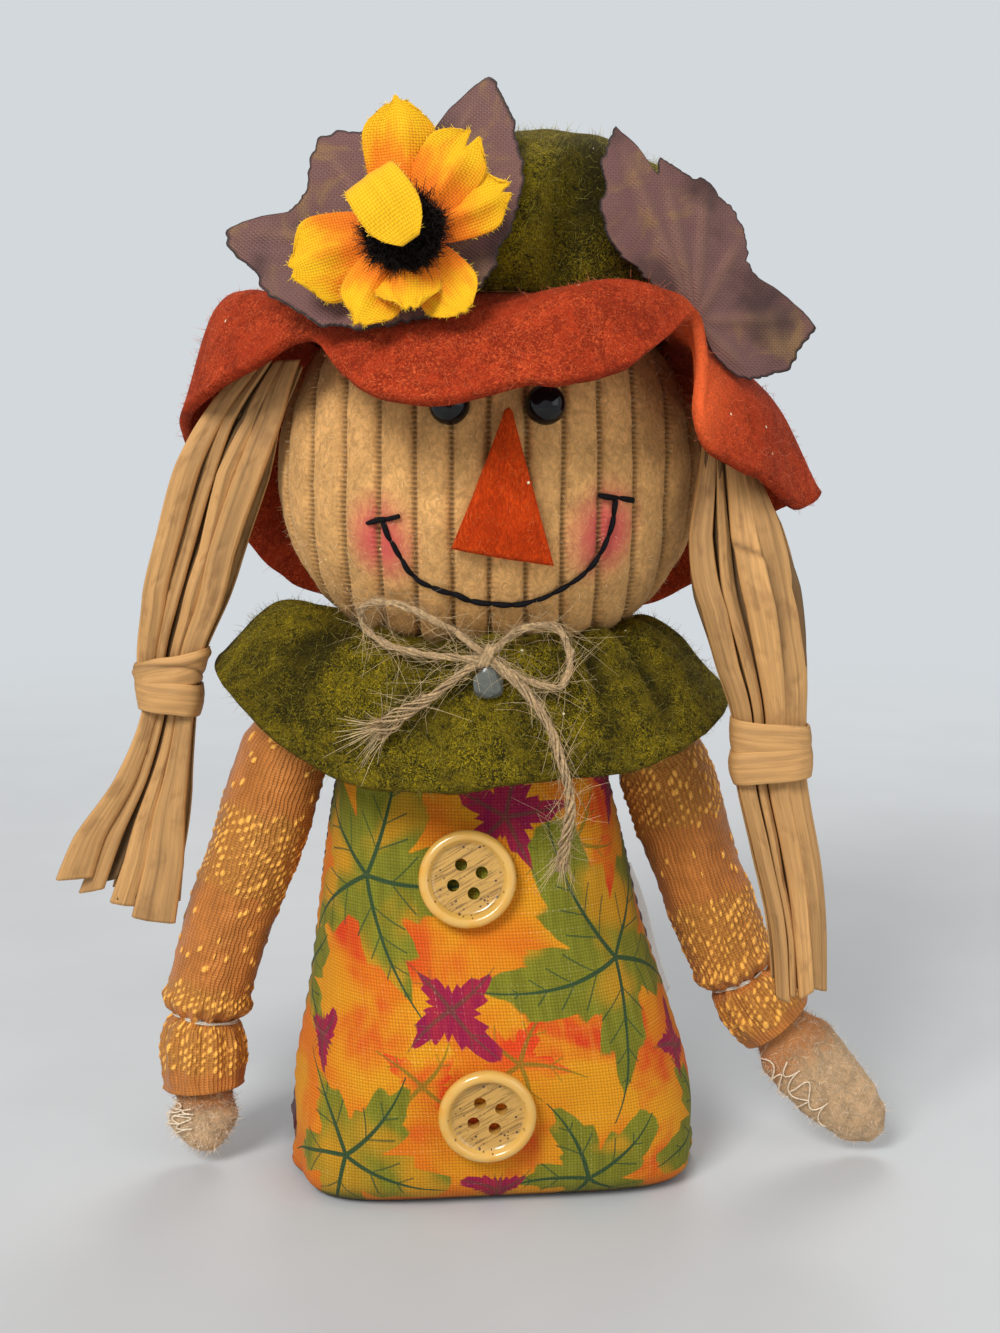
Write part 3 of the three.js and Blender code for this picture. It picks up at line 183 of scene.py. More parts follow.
class Route:
    """A smooth line through points in millimetres, read by the share of its length."""

    def __init__(self, spots):
        given = np.array(spots, float)
        ends = [2 * given[0] - given[1], *given, 2 * given[-1] - given[-2]]
        line = [given[0]]
        for p0, p1, p2, p3 in zip(ends, ends[1:], ends[2:], ends[3:]):
            t1 = max(np.linalg.norm(p1 - p0), 1e-6) ** 0.5
            t2 = t1 + max(np.linalg.norm(p2 - p1), 1e-6) ** 0.5
            t3 = t2 + max(np.linalg.norm(p3 - p2), 1e-6) ** 0.5
            t = np.linspace(t1, t2, 25)[1:, None]
            a1 = p0 + (p1 - p0) * t / t1
            a2 = p1 + (p2 - p1) * (t - t1) / (t2 - t1)
            a3 = p2 + (p3 - p2) * (t - t2) / (t3 - t2)
            b1 = a1 + (a2 - a1) * t / t2
            b2 = a2 + (a3 - a2) * (t - t1) / (t3 - t1)
            line.extend(b1 + (b2 - b1) * (t - t1) / (t2 - t1))
        self.line = np.array(line)
        steps = np.linalg.norm(np.diff(self.line, axis=0), axis=1)
        self.length = steps.sum()
        self.shares = np.concatenate([[0], steps.cumsum()]) / self.length

    def at(self, share):
        share = np.asarray(share, float)
        inside = np.clip(share, 0, 1)
        return np.stack([np.interp(inside, self.shares, self.line[:, k]) for k in range(3)], -1)

    def heading(self, share):
        share = np.clip(np.asarray(share, float), 0.004, 0.996)
        return unit(self.at(share + 0.004) - self.at(share - 0.004))


# Modelling

def alone():
    if bpy.context.object and bpy.context.object.mode != "OBJECT":
        bpy.ops.object.mode_set(mode="OBJECT")
    bpy.ops.object.select_all(action="DESELECT")


def pick(*pieces):
    alone()
    for piece in pieces:
        piece.select_set(True)
    bpy.context.view_layer.objects.active = pieces[0]
    return pieces[0]


def edited(piece, *steps):
    """Runs edit-mode steps on the whole piece, each with everything selected."""
    pick(piece)
    bpy.ops.object.mode_set(mode="EDIT")
    for step in steps:
        bpy.ops.mesh.select_all(action="SELECT")
        step()
    bpy.ops.object.mode_set(mode="OBJECT")
    return piece


def modified(piece, kind, **settings):
    """Adds a modifier and applies it."""
    pick(piece)
    modifier = piece.modifiers.new(kind, kind)
    for name, value in settings.items():
        setattr(modifier, name, value)
    bpy.ops.object.modifier_apply(modifier=modifier.name)
    return piece


def spots_of(piece):
    """A piece's vertices in millimetres."""
    spots = np.empty(3 * len(piece.data.vertices))
    piece.data.vertices.foreach_get("co", spots)
    return spots.reshape(-1, 3) / MM


def put(piece, spots):
    piece.data.vertices.foreach_set("co", (np.asarray(spots) * MM).ravel())
    piece.data.update()
    return piece


def marked(piece, name, values):
    """Keeps a number on each vertex for the piece's material."""
    layer = piece.data.attributes.new(name, "FLOAT", "POINT")
    layer.data.foreach_set("value", np.asarray(values, float).ravel())
    return piece


def unrolled(spots):
    """The cloth's own flat coordinates in millimetres: across from the middle column, and up."""
    across = np.linalg.norm(np.diff(spots, axis=1), axis=-1).cumsum(1)
    across = np.concatenate([np.zeros((len(spots), 1)), across], 1)
    start = round((spots.shape[1] - 1) / 2)
    up = np.linalg.norm(np.diff(spots[:, start], axis=0), axis=-1).cumsum()
    up = np.concatenate([[0], up])[:, None] + 0 * across
    return points(across - across[:, start : start + 1], up)


def formed(name, columns, rows, place, flat=None, marks=None, outward=True):
    """A grid shaped by place(u, v) in millimetres, with u and v running from 0 to 1."""
    alone()
    bpy.ops.mesh.primitive_grid_add(x_subdivisions=columns, y_subdivisions=rows, size=2)
    piece = bpy.context.object
    piece.name = piece.data.name = name
    u, v = np.meshgrid(np.linspace(0, 1, columns + 1), np.linspace(0, 1, rows + 1))
    spots = place(u, v)
    put(piece, spots.reshape(-1, 3))
    sheet = unrolled(spots) if flat is None else flat(u, v)
    corners = np.empty(len(piece.data.loops), np.int32)
    piece.data.loops.foreach_get("vertex_index", corners)
    piece.data.uv_layers[0].data.foreach_set("uv", sheet.reshape(-1, 2)[corners].ravel())
    for mark, values in (marks(u, v) if marks else {}).items():
        marked(piece, mark, values)
    steps = [lambda: bpy.ops.mesh.remove_doubles(threshold=1e-6)]
    if outward:
        steps.append(lambda: bpy.ops.mesh.normals_make_consistent(inside=False))
    return edited(piece, *steps)


def copied(name, node):
    """A merged copy of a CAD node, cut finer."""
    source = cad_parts[node]
    piece = bpy.data.objects.new(name, source.data.copy())
    bpy.context.scene.collection.objects.link(piece)
    piece.matrix_world = source.matrix_world.copy()
    piece.data.materials.clear()
    edited(piece, lambda: bpy.ops.mesh.remove_doubles(threshold=1e-6))
    for _ in range(COPY_CUTS):
        modified(piece, "SUBSURF", levels=1, render_levels=1)
    return piece


def roughened(piece, size, depth, seed, sink=0.0):
    """Moves vertices in and out along their normals by noise, about a surface sunk by a depth."""
    spots = spots_of(piece)
    normals = np.array([v.normal for v in piece.data.vertices])
    return put(piece, spots + normals * (depth * noise(spots, size, seed) - sink)[:, None])


def walled(piece, thickness, offset=0):
    """Gives a sheet its cloth's thickness, in millimetres."""
    return modified(piece, "SOLIDIFY", thickness=thickness * MM, offset=offset)


def joined(name, pieces):
    piece = pick(*pieces)
    if len(pieces) > 1:
        bpy.ops.object.join()
    piece.name = piece.data.name = name
    return piece


def finished(piece, surface, body, slot, *nodes):
    """Smooths and dresses a piece, sets it on its body and lets it stand for CAD nodes."""
    piece.data.materials.clear()
    piece.data.materials.append(surface)
    pick(piece)
    bpy.ops.object.shade_smooth()
    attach(piece, body)
    if nodes:
        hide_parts(*nodes)
    return piece


def sided(line):
    """Two directions square to a line of points at each point, carried along without twist."""
    headings = unit(np.gradient(line, axis=0))
    side = np.cross(headings[0], UP if abs(headings[0][2]) < 0.9 else FRONT)
    sides = []
    for heading in headings:
        side = unit(side - heading * side.dot(heading))
        sides.append(side)
    sides = np.array(sides)
    return sides, np.cross(headings, sides)


def piped(name, line, radius, sides=8):
    """A closed round tube along a line of points, in millimetres."""
    line = np.array(line, float)
    radius = np.broadcast_to(radius, len(line)).copy()
    across, forward = sided(line)
    line = np.concatenate([line[:1], line, line[-1:]])
    across = np.concatenate([across[:1], across, across[-1:]])
    forward = np.concatenate([forward[:1], forward, forward[-1:]])
    radius = np.concatenate([[0], radius, [0]])

    def place(u, v):
        turn = TURN * u[..., None]
        ring = np.cos(turn) * across[:, None] + np.sin(turn) * forward[:, None]
        return line[:, None] + radius[:, None, None] * ring

    return formed(name, sides, len(line) - 1, place, flat=points)


def bristle(joints):
    """One unit hair along +Z that hairs are copied from: its spots and its triangles."""
    alone()
    bpy.ops.mesh.primitive_cone_add(
        vertices=3, radius1=1, radius2=0.35, depth=1, location=(0, 0, 0.5), end_fill_type="NGON"
    )
    hair = bpy.context.object
    pick(hair)
    bpy.ops.object.transform_apply(location=True, rotation=False, scale=False)
    for height in joints:
        edited(hair, lambda: bpy.ops.mesh.bisect(plane_co=(0, 0, height), plane_no=(0, 0, 1)))
    edited(hair, lambda: bpy.ops.mesh.quads_convert_to_tris())
    spots = spots_of(hair) * MM
    faces = np.array([tuple(face.vertices) for face in hair.data.polygons])
    bpy.data.objects.remove(hair)
    return spots, faces


HAIR = {}


def sown(name, roots, headings, lengths, thick, bend, seed, joints=(0.33, 0.66)):
    """Many thin curved hairs from roots along headings, as one mesh, in millimetres."""
    if joints not in HAIR:
        HAIR[joints] = bristle(joints)
    hair, faces = HAIR[joints]
    rng = np.random.default_rng(seed)
    count = len(roots)
    headings = unit(np.asarray(headings, float))
    side = unit(np.cross(headings, rng.normal(size=(count, 3))))
    other = np.cross(headings, side)
    lengths = np.broadcast_to(lengths, count)[:, None, None]
    curl = np.clip(rng.normal(size=(count, 3)), -1.4, 1.4) * bend
    up = hair[:, 2][None, :, None]
    middle = roots[:, None] + lengths * (headings[:, None] * up + curl[:, None] * up**2)
    ring = side[:, None] * hair[None, :, 0:1] + other[:, None] * hair[None, :, 1:2]
    spots = (middle + thick * ring).reshape(-1, 3)
    spots[:, 2] = np.maximum(spots[:, 2], FLOOR_GAP)
    corners = (faces[None] + len(hair) * np.arange(count)[:, None, None]).reshape(-1, 3)
    mesh = bpy.data.meshes.new(name)
    mesh.from_pydata(spots * MM, [], corners)
    piece = bpy.data.objects.new(name, mesh)
    bpy.context.scene.collection.objects.link(piece)
    marked(piece, "shade", np.repeat(rng.random(count), len(hair)))
    marked(piece, "tip", np.tile(hair[:, 2], count))
    return piece


def scattered(piece, count, seed, keep=None):
    """Spots strewn evenly over a piece's faces, with the way each spot faces."""
    mesh = piece.data
    mesh.calc_loop_triangles()
    corners = np.empty(3 * len(mesh.loop_triangles), np.int32)
    mesh.loop_triangles.foreach_get("vertices", corners)
    a, b, c = spots_of(piece)[corners.reshape(-1, 3)].transpose(1, 0, 2)
    cross = np.cross(b - a, c - a)
    weight = np.linalg.norm(cross, axis=1)
    if keep:
        weight = weight * keep((a + b + c) / 3, unit(cross))
    rng = np.random.default_rng(seed)
    chosen = rng.choice(len(weight), count, p=weight / weight.sum())
    p, q = rng.random((2, count, 1))
    p, q = np.where(p + q > 1, 1 - p, p), np.where(p + q > 1, 1 - q, q)
    return a[chosen] * (1 - p - q) + b[chosen] * p + c[chosen] * q, unit(cross[chosen])


def fuzzed(piece, name, count, length, thick, surface, body, slot, lean=1.0, seed=3, keep=None, bend=0.5):
    """Loose fibres that stand out of a felt or pile piece."""
    roots, normals = scattered(piece, count, seed, keep)
    rng = np.random.default_rng(seed + 1)
    headings = normals + lean * rng.normal(size=normals.shape)
    inward = (headings * normals).sum(1, keepdims=True) < 0.15
    headings = np.where(inward, headings + normals * 1.2, headings)
    lengths = length * rng.uniform(0.35, 1.0, count) ** 1.3
    hairs = sown(name, roots - 0.1 * normals, headings, lengths, thick, bend, seed + 2, joints=(0.5,))
    return finished(hairs, surface, body, slot)


# Node trees

def tint(code):
    """A colour code as the linear colour that a node takes."""
    parts = [int(code[i : i + 2], 16) / 255 for i in (1, 3, 5)]
    return tuple(p / 12.92 if p <= 0.04045 else ((p + 0.055) / 1.055) ** 2.4 for p in parts)


class Signal:
    """A node's output. Adding, subtracting and multiplying it adds Math nodes."""

    def __init__(self, board, socket):
        self.board, self.socket = board, socket

    def __add__(self, other):
        return self.board.math("ADD", self, other)

    def __sub__(self, other):
        return self.board.math("SUBTRACT", self, other)

    def __rsub__(self, other):
        return self.board.math("SUBTRACT", other, self)

    def __mul__(self, other):
        return self.board.math("MULTIPLY", self, other)


class Board:
    """A node tree, written one node at a time."""

    def __init__(self, tree):
        self.tree = tree

    def feed(self, socket, value):
        if isinstance(value, Signal):
            self.tree.links.new(value.socket, socket)
        elif hasattr(value, "__len__") and len(socket.default_value) == 4 and len(value) == 3:
            socket.default_value = (*value, 1)
        else:
            socket.default_value = value

    def signals(self, sockets):
        """A node's outputs, by number and by name."""
        return {key: Signal(self, socket) for key, socket in (*enumerate(sockets), *sockets.items())}

    def add(self, kind, feeds, **settings):
        """Adds a node and gives all its outputs."""
        node = self.tree.nodes.new("ShaderNode" + kind)
        for name, value in settings.items():
            setattr(node, name, value)
        for key, value in feeds.items():
            self.feed(node.inputs[key], value)
        return self.signals(node.outputs)

    def node(self, kind, feeds, out=0, **settings):
        """Adds a node and gives one of its outputs."""
        return self.add(kind, feeds, **settings)[out]

    def math(self, operation, *values):
        return self.node("Math", dict(enumerate(values)), operation=operation)

    def sine(self, value):
        return self.math("SINE", value)

    def vector(self, operation, *values, out=0):
        return self.node("VectorMath", dict(enumerate(values)), out=out, operation=operation)

    def scaled(self, vector, factors):
        return self.vector("MULTIPLY", vector, factors)

    def parts(self, vector):
        found = self.add("SeparateXYZ", {0: vector})
        return found[0], found[1], found[2]

    def joined(self, x, y, z=0.0):
        return self.node("CombineXYZ", {0: x, 1: y, 2: z})

    def mix(self, share, a, b, blend="MIX"):
        feeds = {0: share, 6: a, 7: b}
        return self.node("Mix", feeds, out=2, data_type="RGBA", blend_type=blend)

    def scale(self, colour, light):
        """A colour made lighter or darker by a number round 1."""
        return self.node("VectorMath", {0: colour, "Scale": light}, operation="SCALE")

    def noise(self, vector, scale, detail=3.0, rough=0.5, distortion=0.0):
        feeds = {
            "Vector": vector, "Scale": scale, "Detail": detail, "Roughness": rough, "Distortion": distortion}
        return self.node("TexNoise", feeds)

    def band(self, value, low, high, to_low=0.0, to_high=1.0):
        """Maps a number smoothly from one range to another and holds it there."""
        feeds = {0: value, 1: low, 2: high, 3: to_low, 4: to_high}
        return self.node("MapRange", feeds, interpolation_type="SMOOTHSTEP")

    def mark(self, name):
        """A number that the mesh keeps on its vertices."""
        return self.node("Attribute", {}, out=2, attribute_name=name)

    def place(self):
        """Object coordinates in millimetres."""
        return self.scaled(self.node("TexCoord", {}, out=3), (1000, 1000, 1000))

    def sheet(self):
        """The cloth's own flat coordinates, in millimetres."""
        return self.node("UVMap", {})

    def use(self, group, **feeds):
        return self.add("Group", feeds, node_tree=group)


class Surface(Board):
    """The node tree of a Principled material."""

    def __init__(self, tree):
        super().__init__(tree)
        self.shader = tree.nodes["Principled BSDF"].inputs

    def paint(self, colour):
        self.feed(self.shader["Base Color"], colour)

    def gloss(self, roughness):
        self.feed(self.shader["Roughness"], roughness)

    def relief(self, height, strength, distance):
        """Bumps the surface by a height, over a distance in millimetres."""
        feeds = {"Strength": strength, "Distance": distance * MM, "Height": height}
        self.feed(self.shader["Normal"], self.node("Bump", feeds))


def effect(name, inputs, outputs, write):
    """A shader node group, built once. write(board, inputs) gives its outputs by name."""
    tree = bpy.data.node_groups.get(name)
    if tree:
        return tree
    tree = bpy.data.node_groups.new(name, "ShaderNodeTree")
    for title, default in inputs.items():
        kind = "NodeSocketVector" if hasattr(default, "__len__") else "NodeSocketFloat"
        tree.interface.new_socket(title, in_out="INPUT", socket_type=kind).default_value = default
    for title in outputs:
        tree.interface.new_socket(title, in_out="OUTPUT", socket_type="NodeSocketFloat")
    source = tree.nodes.new("NodeGroupInput")
    sink = tree.nodes.new("NodeGroupOutput")
    board = Board(tree)
    for title, value in write(board, board.signals(source.outputs)).items():
        board.feed(sink.inputs[title], value)
    return tree


def woven():
    """Plain weave: one thread over the next, at a pitch in millimetres."""

    def write(b, given):
        x, y, _ = b.parts(b.vector("DIVIDE", given["Place"], given["Pitch"]))
        across = b.sine(x * math.pi)
        along = b.sine(y * math.pi)
        over = b.math("GREATER_THAN", across * along, 0.0)
        across, along = b.math("ABSOLUTE", across), b.math("ABSOLUTE", along)
        warp = across * b.math("MULTIPLY_ADD", along, 0.4, 0.6)
        weft = along * b.math("MULTIPLY_ADD", across, 0.4, 0.6)
        height = over * warp + (1.0 - over) * weft
        threads = b.scaled(given["Place"], (0.35, 0.35, 0.35))
        slub_across = b.noise(b.scaled(threads, (0.15, 9.0, 1.0)), 1.0, 2.0)
        slub_along = b.noise(b.scaled(threads, (9.0, 0.15, 1.0)), 1.0, 2.0)
        slub = over * slub_along + (1.0 - over) * slub_across
        return {"Height": height, "Slub": slub}

    return effect("woven", {"Place": (0, 0, 0), "Pitch": (0.45, 0.45, 1.0)}, ["Height", "Slub"], write)


def felted():
    """Felt: blotches of dyed wool, short lying fibres and a soft pile."""

    def write(b, given):
        lump = b.vector("DIVIDE", given["Place"], given["Lump"])
        blotch = b.noise(lump, 1.0, 4.0, 0.62, 0.6)
        fibres = b.noise(b.scaled(lump, (2.2, 2.2, 2.2)), 1.6, 6.0, 0.72, 2.4)
        pile = b.noise(given["Place"], 3.2, 4.0, 0.7, 1.2)
        return {"Blotch": blotch, "Fibres": fibres, "Pile": pile}

    return effect(
        "felted", {"Place": (0, 0, 0), "Lump": (4.0, 4.0, 4.0)}, ["Blotch", "Fibres", "Pile"], write)


def specked():
    """Scattered specks: a share of evenly strewn dots of a size."""

    def write(b, given):
        spot = b.vector("DIVIDE", given["Place"], given["Spacing"])
        cell = b.add("TexVoronoi", {"Vector": spot, "Scale": 1.0})
        near = b.math("LESS_THAN", cell["Distance"], given["Size"])
        chance = b.parts(cell["Color"])[0]
        return {"Specks": near * b.math("LESS_THAN", chance, given["Share"])}

    inputs = {"Place": (0, 0, 0), "Spacing": (3.0, 3.0, 3.0), "Size": 0.1, "Share": 0.5}
    return effect("specked", inputs, ["Specks"], write)


def grained():
    """Long fibres: streaks stretched along the third axis of the given place."""

    def write(b, given):
        broad = b.noise(b.scaled(given["Place"], (0.9, 0.9, 0.05)), 1.0, 3.0, 0.6)
        fine = b.noise(b.scaled(given["Place"], (5.5, 5.5, 0.16)), 1.0, 4.0, 0.65)
        blotch = b.noise(b.scaled(given["Place"], (0.35, 0.35, 0.2)), 1.0, 3.0, 0.6)
        return {"Broad": broad, "Fine": fine, "Blotch": blotch}

    return effect("grained", {"Place": (0, 0, 0)}, ["Broad", "Fine", "Blotch"], write)


def printed_leaf():
    """One printed leaf: a toothed star of lobes round a middle, and its curved veins."""

    def write(b, given):
        x, y, _ = b.parts(b.vector("SUBTRACT", given["Place"], given["Middle"]))
        reach = b.math("SQRT", x * x + y * y)
        share = b.math("DIVIDE", reach, given["Size"])
        angle = b.math("ARCTAN2", x, y) - given["Turn"]
        angle = angle + share * given["Curve"]
        angle = b.math("WRAP", angle, math.pi, -math.pi)
        step = b.math("DIVIDE", TURN, given["Lobes"])
        lobe = b.math("DIVIDE", angle, step)
        off = b.math("ABSOLUTE", lobe - b.math("ROUND", lobe))
        tip = b.math("POWER", 1.0 - off * 2.0, given["Point"])
        back = b.math("MULTIPLY_ADD", b.math("ABSOLUTE", angle), -0.12, 1.0)
        teeth = b.math("PINGPONG", angle * 6.0, 1.0) * 0.15
        edge = (b.math("MULTIPLY_ADD", tip, 0.56, 0.34) + teeth) * back
        wobble = b.noise(given["Place"], 0.35, 2.0) - 0.5
        gap = edge - share + wobble * 0.12
        fill = b.band(gap, 0.0, 0.03)
        away = off * step * reach
        width = b.band(share, 0.0, 1.0, 0.38, 0.14)
        vein = b.band(width - away, 0.0, 0.12)
        side = b.math("PINGPONG", reach - away * 1.15, 1.9)
        twigs = b.band(side, 0.1, 0.2, 0.8, 0.0) * b.math("LESS_THAN", share + away * 0.09, 0.72)
        veins = b.math("MAXIMUM", vein, twigs) * b.math("LESS_THAN", share, 0.9)
        return {"Fill": fill, "Vein": veins}

    inputs = {"Place": (0, 0, 0), "Middle": (0, 0, 0), "Turn": 0.0, "Size": 10.0}
    inputs.update({"Lobes": 5.0, "Point": 1.2, "Curve": 0.3})
    return effect("printed_leaf", inputs, ["Fill", "Vein"], write)


def dressed(name, roughness, write, **constants):
    """A Principled material. write(board) adds its nodes, and constants are set on the shader itself."""
    surface = bpy.data.materials.get(name + "_finish")
    if surface:
        return surface
    surface = bpy.data.materials.new(name + "_finish")
    surface.use_nodes = True
    board = Surface(surface.node_tree)
    for title, value in {"Roughness": roughness, **constants}.items():
        board.feed(board.shader[title.replace("_", " ")], value)
    write(board)
    return surface


# Finishes

# Printed leaves, each with these values of the printed_leaf group
PRINT_LEAF_VALUES = ("Middle", "Turn", "Size", "Lobes", "Point", "Curve")
PRINT_LEAVES_GREEN = [
    ((-15.0, 45.5, 0), 0.5, 23.0, 5.0, 1.0, 0.25), ((19.0, 34.0, 0), -0.7, 24.0, 5.0, 1.1, -0.3),
    ((-21.0, 9.0, 0), 2.2, 16.0, 5.0, 1.0, 0.3), ((11.0, 5.0, 0), 1.1, 14.0, 5.0, 1.1, 0.3),
    ((33.0, 8.0, 0), -1.6, 14.0, 5.0, 1.0, 0.2), ((-34.0, 30.0, 0), 1.2, 13.0, 5.0, 1.0, 0.2)]
PRINT_LEAVES_PLUM = [
    ((4.5, 54.0, 0), 0.2, 11.0, 5.0, 1.9, 0.0), ((-5.0, 29.0, 0), 2.6, 9.5, 4.0, 1.8, 0.2),
    ((-26.0, 23.0, 0), 1.0, 6.0, 3.0, 2.4, 0.3), ((24.0, 56.0, 0), -1.0, 7.0, 4.0, 2.0, 0.2),
    ((29.0, 20.0, 0), 0.4, 7.0, 4.0, 2.2, 0.2), ((-1.0, 3.5, 0), -0.9, 6.0, 3.0, 2.4, 0.3)]
PRINT_LEAVES_GOLD = [
    ((3.0, 22.0, 0), -2.2, 10.0, 5.0, 1.6, -0.3), ((-10.0, 19.0, 0), 0.9, 8.0, 4.0, 1.8, 0.3),
    ((14.0, 50.0, 0), 2.0, 9.0, 5.0, 1.5, 0.3)]


def print_cotton(looks):
    def write(b):
        sheet = b.sheet()
        leaf = printed_leaf()
        warm = b.noise(sheet, 0.075, 2.0, 0.5, 0.4)
        hot = b.noise(b.vector("ADD", sheet, (40, 13, 0)), 0.06, 3.0, 0.55, 0.6)
        brush = b.noise(b.scaled(sheet, (0.6, 0.12, 1)), 1.0, 4.0, 0.6)
        colour = b.mix(b.band(warm, 0.4, 0.62), looks.gold, looks.orange)
        colour = b.mix(b.band(hot, 0.5, 0.66) * b.band(brush, 0.3, 0.6, 0.6, 1.0), colour, looks.red)
        moss = b.mix(b.band(brush, 0.3, 0.7), looks.green, b.scale(looks.green, 1.35))
        moss = b.mix(b.band(warm, 0.52, 0.66, 0.0, 0.7), moss, looks.gold)
        amber = b.mix(b.band(hot, 0.4, 0.6), looks.gold, b.scale(looks.red, 1.1))
        sets = [
            (PRINT_LEAVES_GOLD, amber, looks.green, 0.7),
            (PRINT_LEAVES_GREEN, moss, looks.vein, 1.0),
            (PRINT_LEAVES_PLUM, b.mix(b.band(brush, 0.3, 0.8, 0.0, 0.35), looks.plum, looks.red),
             looks.vein, 0.45),
        ]
        for leaves, fill, vein, strength in sets:
            for values in leaves:
                shape = b.use(leaf, Place=sheet, **dict(zip(PRINT_LEAF_VALUES, values)))
                colour = b.mix(shape["Fill"], colour, fill)
                colour = b.mix(shape["Vein"] * strength, colour, vein)
        pitch = looks.thread_pitch / MM
        weave = b.use(woven(), Place=sheet, Pitch=(pitch, pitch, 1))
        light = weave["Height"] * 0.55 + weave["Slub"] * 0.34
        colour = b.scale(colour, light + 0.58)
        pale = b.band(weave["Slub"], 0.62, 0.8) * 0.16
        colour = b.mix(pale, colour, (0.9, 0.78, 0.5))
        # Painted shade: the seam mark darkens the turned-in side seams and the bottom edge
        b.paint(b.mix(b.mark("seam") * 0.55, colour, (0.09, 0.035, 0.015)))
        b.relief(weave["Height"], 0.55, 0.12)

    return dressed(
        "printed_cotton", 0.85, write, Sheen_Weight=0.03, Sheen_Roughness=0.5, Specular_IOR_Level=0.15)


def plain_cotton(name, colour, pitch=0.45):
    def write(b):
        sheet = b.sheet()
        weave = b.use(woven(), Place=sheet, Pitch=(pitch, pitch, 1))
        patch = b.noise(sheet, 0.18, 4.0, 0.6)
        light = weave["Height"] * 0.4 + weave["Slub"] * 0.4 + patch * 0.3
        b.paint(b.scale(colour, light + 0.45))
        b.relief(weave["Height"], 0.5, 0.12)

    return dressed(name, 0.88, write, Sheen_Weight=0.12, Sheen_Roughness=0.5)


def pile_felt(name, dark, mid, light, lump=4.0, glitter=0.35, stretch=1.0, deep=0.9):
    """Mottled wool felt with a few glitter specks; deep is the share of the dark wool. The dark and lit marks
    paint shade and light into it.
    """

    def write(b):
        place = b.place()
        felt = b.use(felted(), Place=b.scaled(place, (1.0, 1.0, stretch)), Lump=(lump, lump, lump))
        broad = b.band(b.noise(b.vector("ADD", place, (0, 40, 7)), 0.2, 3.0, 0.6, 0.5), 0.3, 0.7, -0.07, 0.07)
        shade = broad + (felt["Blotch"] * 0.6 + felt["Fibres"] * 0.4)
        colour = b.mix(b.band(shade, 0.42, 0.57, deep, 0.0), mid, dark)
        lit = b.band(b.noise(place, 0.14, 2.0), 0.38, 0.62, 0.45, 1.0)
        colour = b.mix(b.band(felt["Fibres"], 0.46, 0.64) * lit, colour, light)
        # Painted shade and painted light: the dark mark darkens the crown's pleat, the crown's foot, the
        # collar's folds and its neck edge; the lit mark lightens the underside of the brim's fold
        colour = b.mix(b.mark("dark"), colour, b.scale(dark, 0.5))
        colour = b.mix(b.mark("lit"), colour, b.scale(light, 1.6))
        colour = b.scale(colour, b.band(felt["Pile"], 0.25, 0.75, 0.66, 1.3))
        spark = b.use(specked(), Place=place, Spacing=(4.2, 4.2, 4.2), Size=0.045, Share=glitter)["Specks"]
        b.paint(b.mix(spark, colour, (0.95, 0.85, 0.55)))
        b.gloss(0.95 - spark * 0.7)
        depth = felt["Pile"] * 0.6 + felt["Fibres"] * 0.6
        b.relief(depth, 0.8, 0.5)

    return dressed(
        name, 0.95, write, Sheen_Weight=0.12, Sheen_Roughness=0.6, Sheen_Tint=light, Specular_IOR_Level=0.12)


def hairs(name, root, tip, shine=0.8, sheen=0.06):
    """Loose fibres, each a little lighter or darker than the next."""

    def write(b):
        colour = b.mix(b.mark("tip"), root, tip)
        b.paint(b.scale(colour, b.band(b.mark("shade"), 0.0, 1.0, 0.6, 1.35)))

    return dressed(name, shine, write, Sheen_Weight=sheen, Specular_IOR_Level=0.15)


def olive_finishes(hat):
    """The felt of the crown and the collar, and its loose wool."""
    felt = pile_felt("crown_felt", hat.olive_dark, hat.olive, hat.olive_light, 1.8)
    return felt, hairs("olive_wool", hat.olive, tint("#b5a94a"))


# Middles of the blushed cheeks with their reach, and the share at which heights count, so they stand tall
CHEEKS = [((-13.4, -23.6, 87.4), 6.4), ((14.4, -22.6, 88.6), 6.8)]
CHEEK_SQUASH = 0.8


def corduroy_cloth(looks):
    def write(b):
        place = b.place()
        groove = b.mark("groove")
        nap = b.noise(b.scaled(place, (1.0, 1.0, 0.7)), 1.3, 6.0, 0.75, 1.0)
        patch = b.noise(place, 0.16, 3.0, 0.6, 0.6)
        colour = b.mix(b.band(patch, 0.35, 0.7), b.scale(looks.cord, 0.86), b.scale(looks.cord, 1.12))
        colour = b.scale(colour, b.band(nap, 0.3, 0.7, 0.72, 1.26))
        for (x, y, z), size in CHEEKS:
            away = b.vector(
                "DISTANCE", b.scaled(place, (1.0, 1.0, CHEEK_SQUASH)), (x, y, CHEEK_SQUASH * z), out=1)
            ragged = away + (nap - 0.5) * 3.0
            colour = b.mix(b.band(ragged, 0.15 * size, size, 0.85, 0.0), colour, looks.blush)
        z = b.parts(place)[2]
        # The grooves between the cords are darkened as painted shade, with rows of backing thread in them;
        # seam holds this groove colour
        stitch = b.band(b.sine(z * (TURN / 0.62) + nap * 3.0), -0.7, 0.8)
        seam = b.mix(stitch, b.scale(looks.cord, 0.22), b.scale(looks.cord, 0.58))
        colour = b.mix(b.band(groove + (nap - 0.5) * 0.5, 0.4, 1.0) * 0.85, colour, seam)
        spark = b.use(specked(), Place=place, Spacing=(3.6, 3.6, 3.6), Size=0.05, Share=0.4)["Specks"]
        b.paint(b.mix(spark, colour, (0.95, 0.78, 0.35)))
        b.gloss(0.92 - spark * 0.65)
        depth = nap * 0.8 + groove * stitch * 0.7
        b.relief(depth, 0.6, 0.35)

    return dressed(
        "corduroy_cloth", 0.92, write, Sheen_Weight=0.16, Sheen_Roughness=0.5, Sheen_Tint=(0.9, 0.66, 0.36),
        Specular_IOR_Level=0.15)


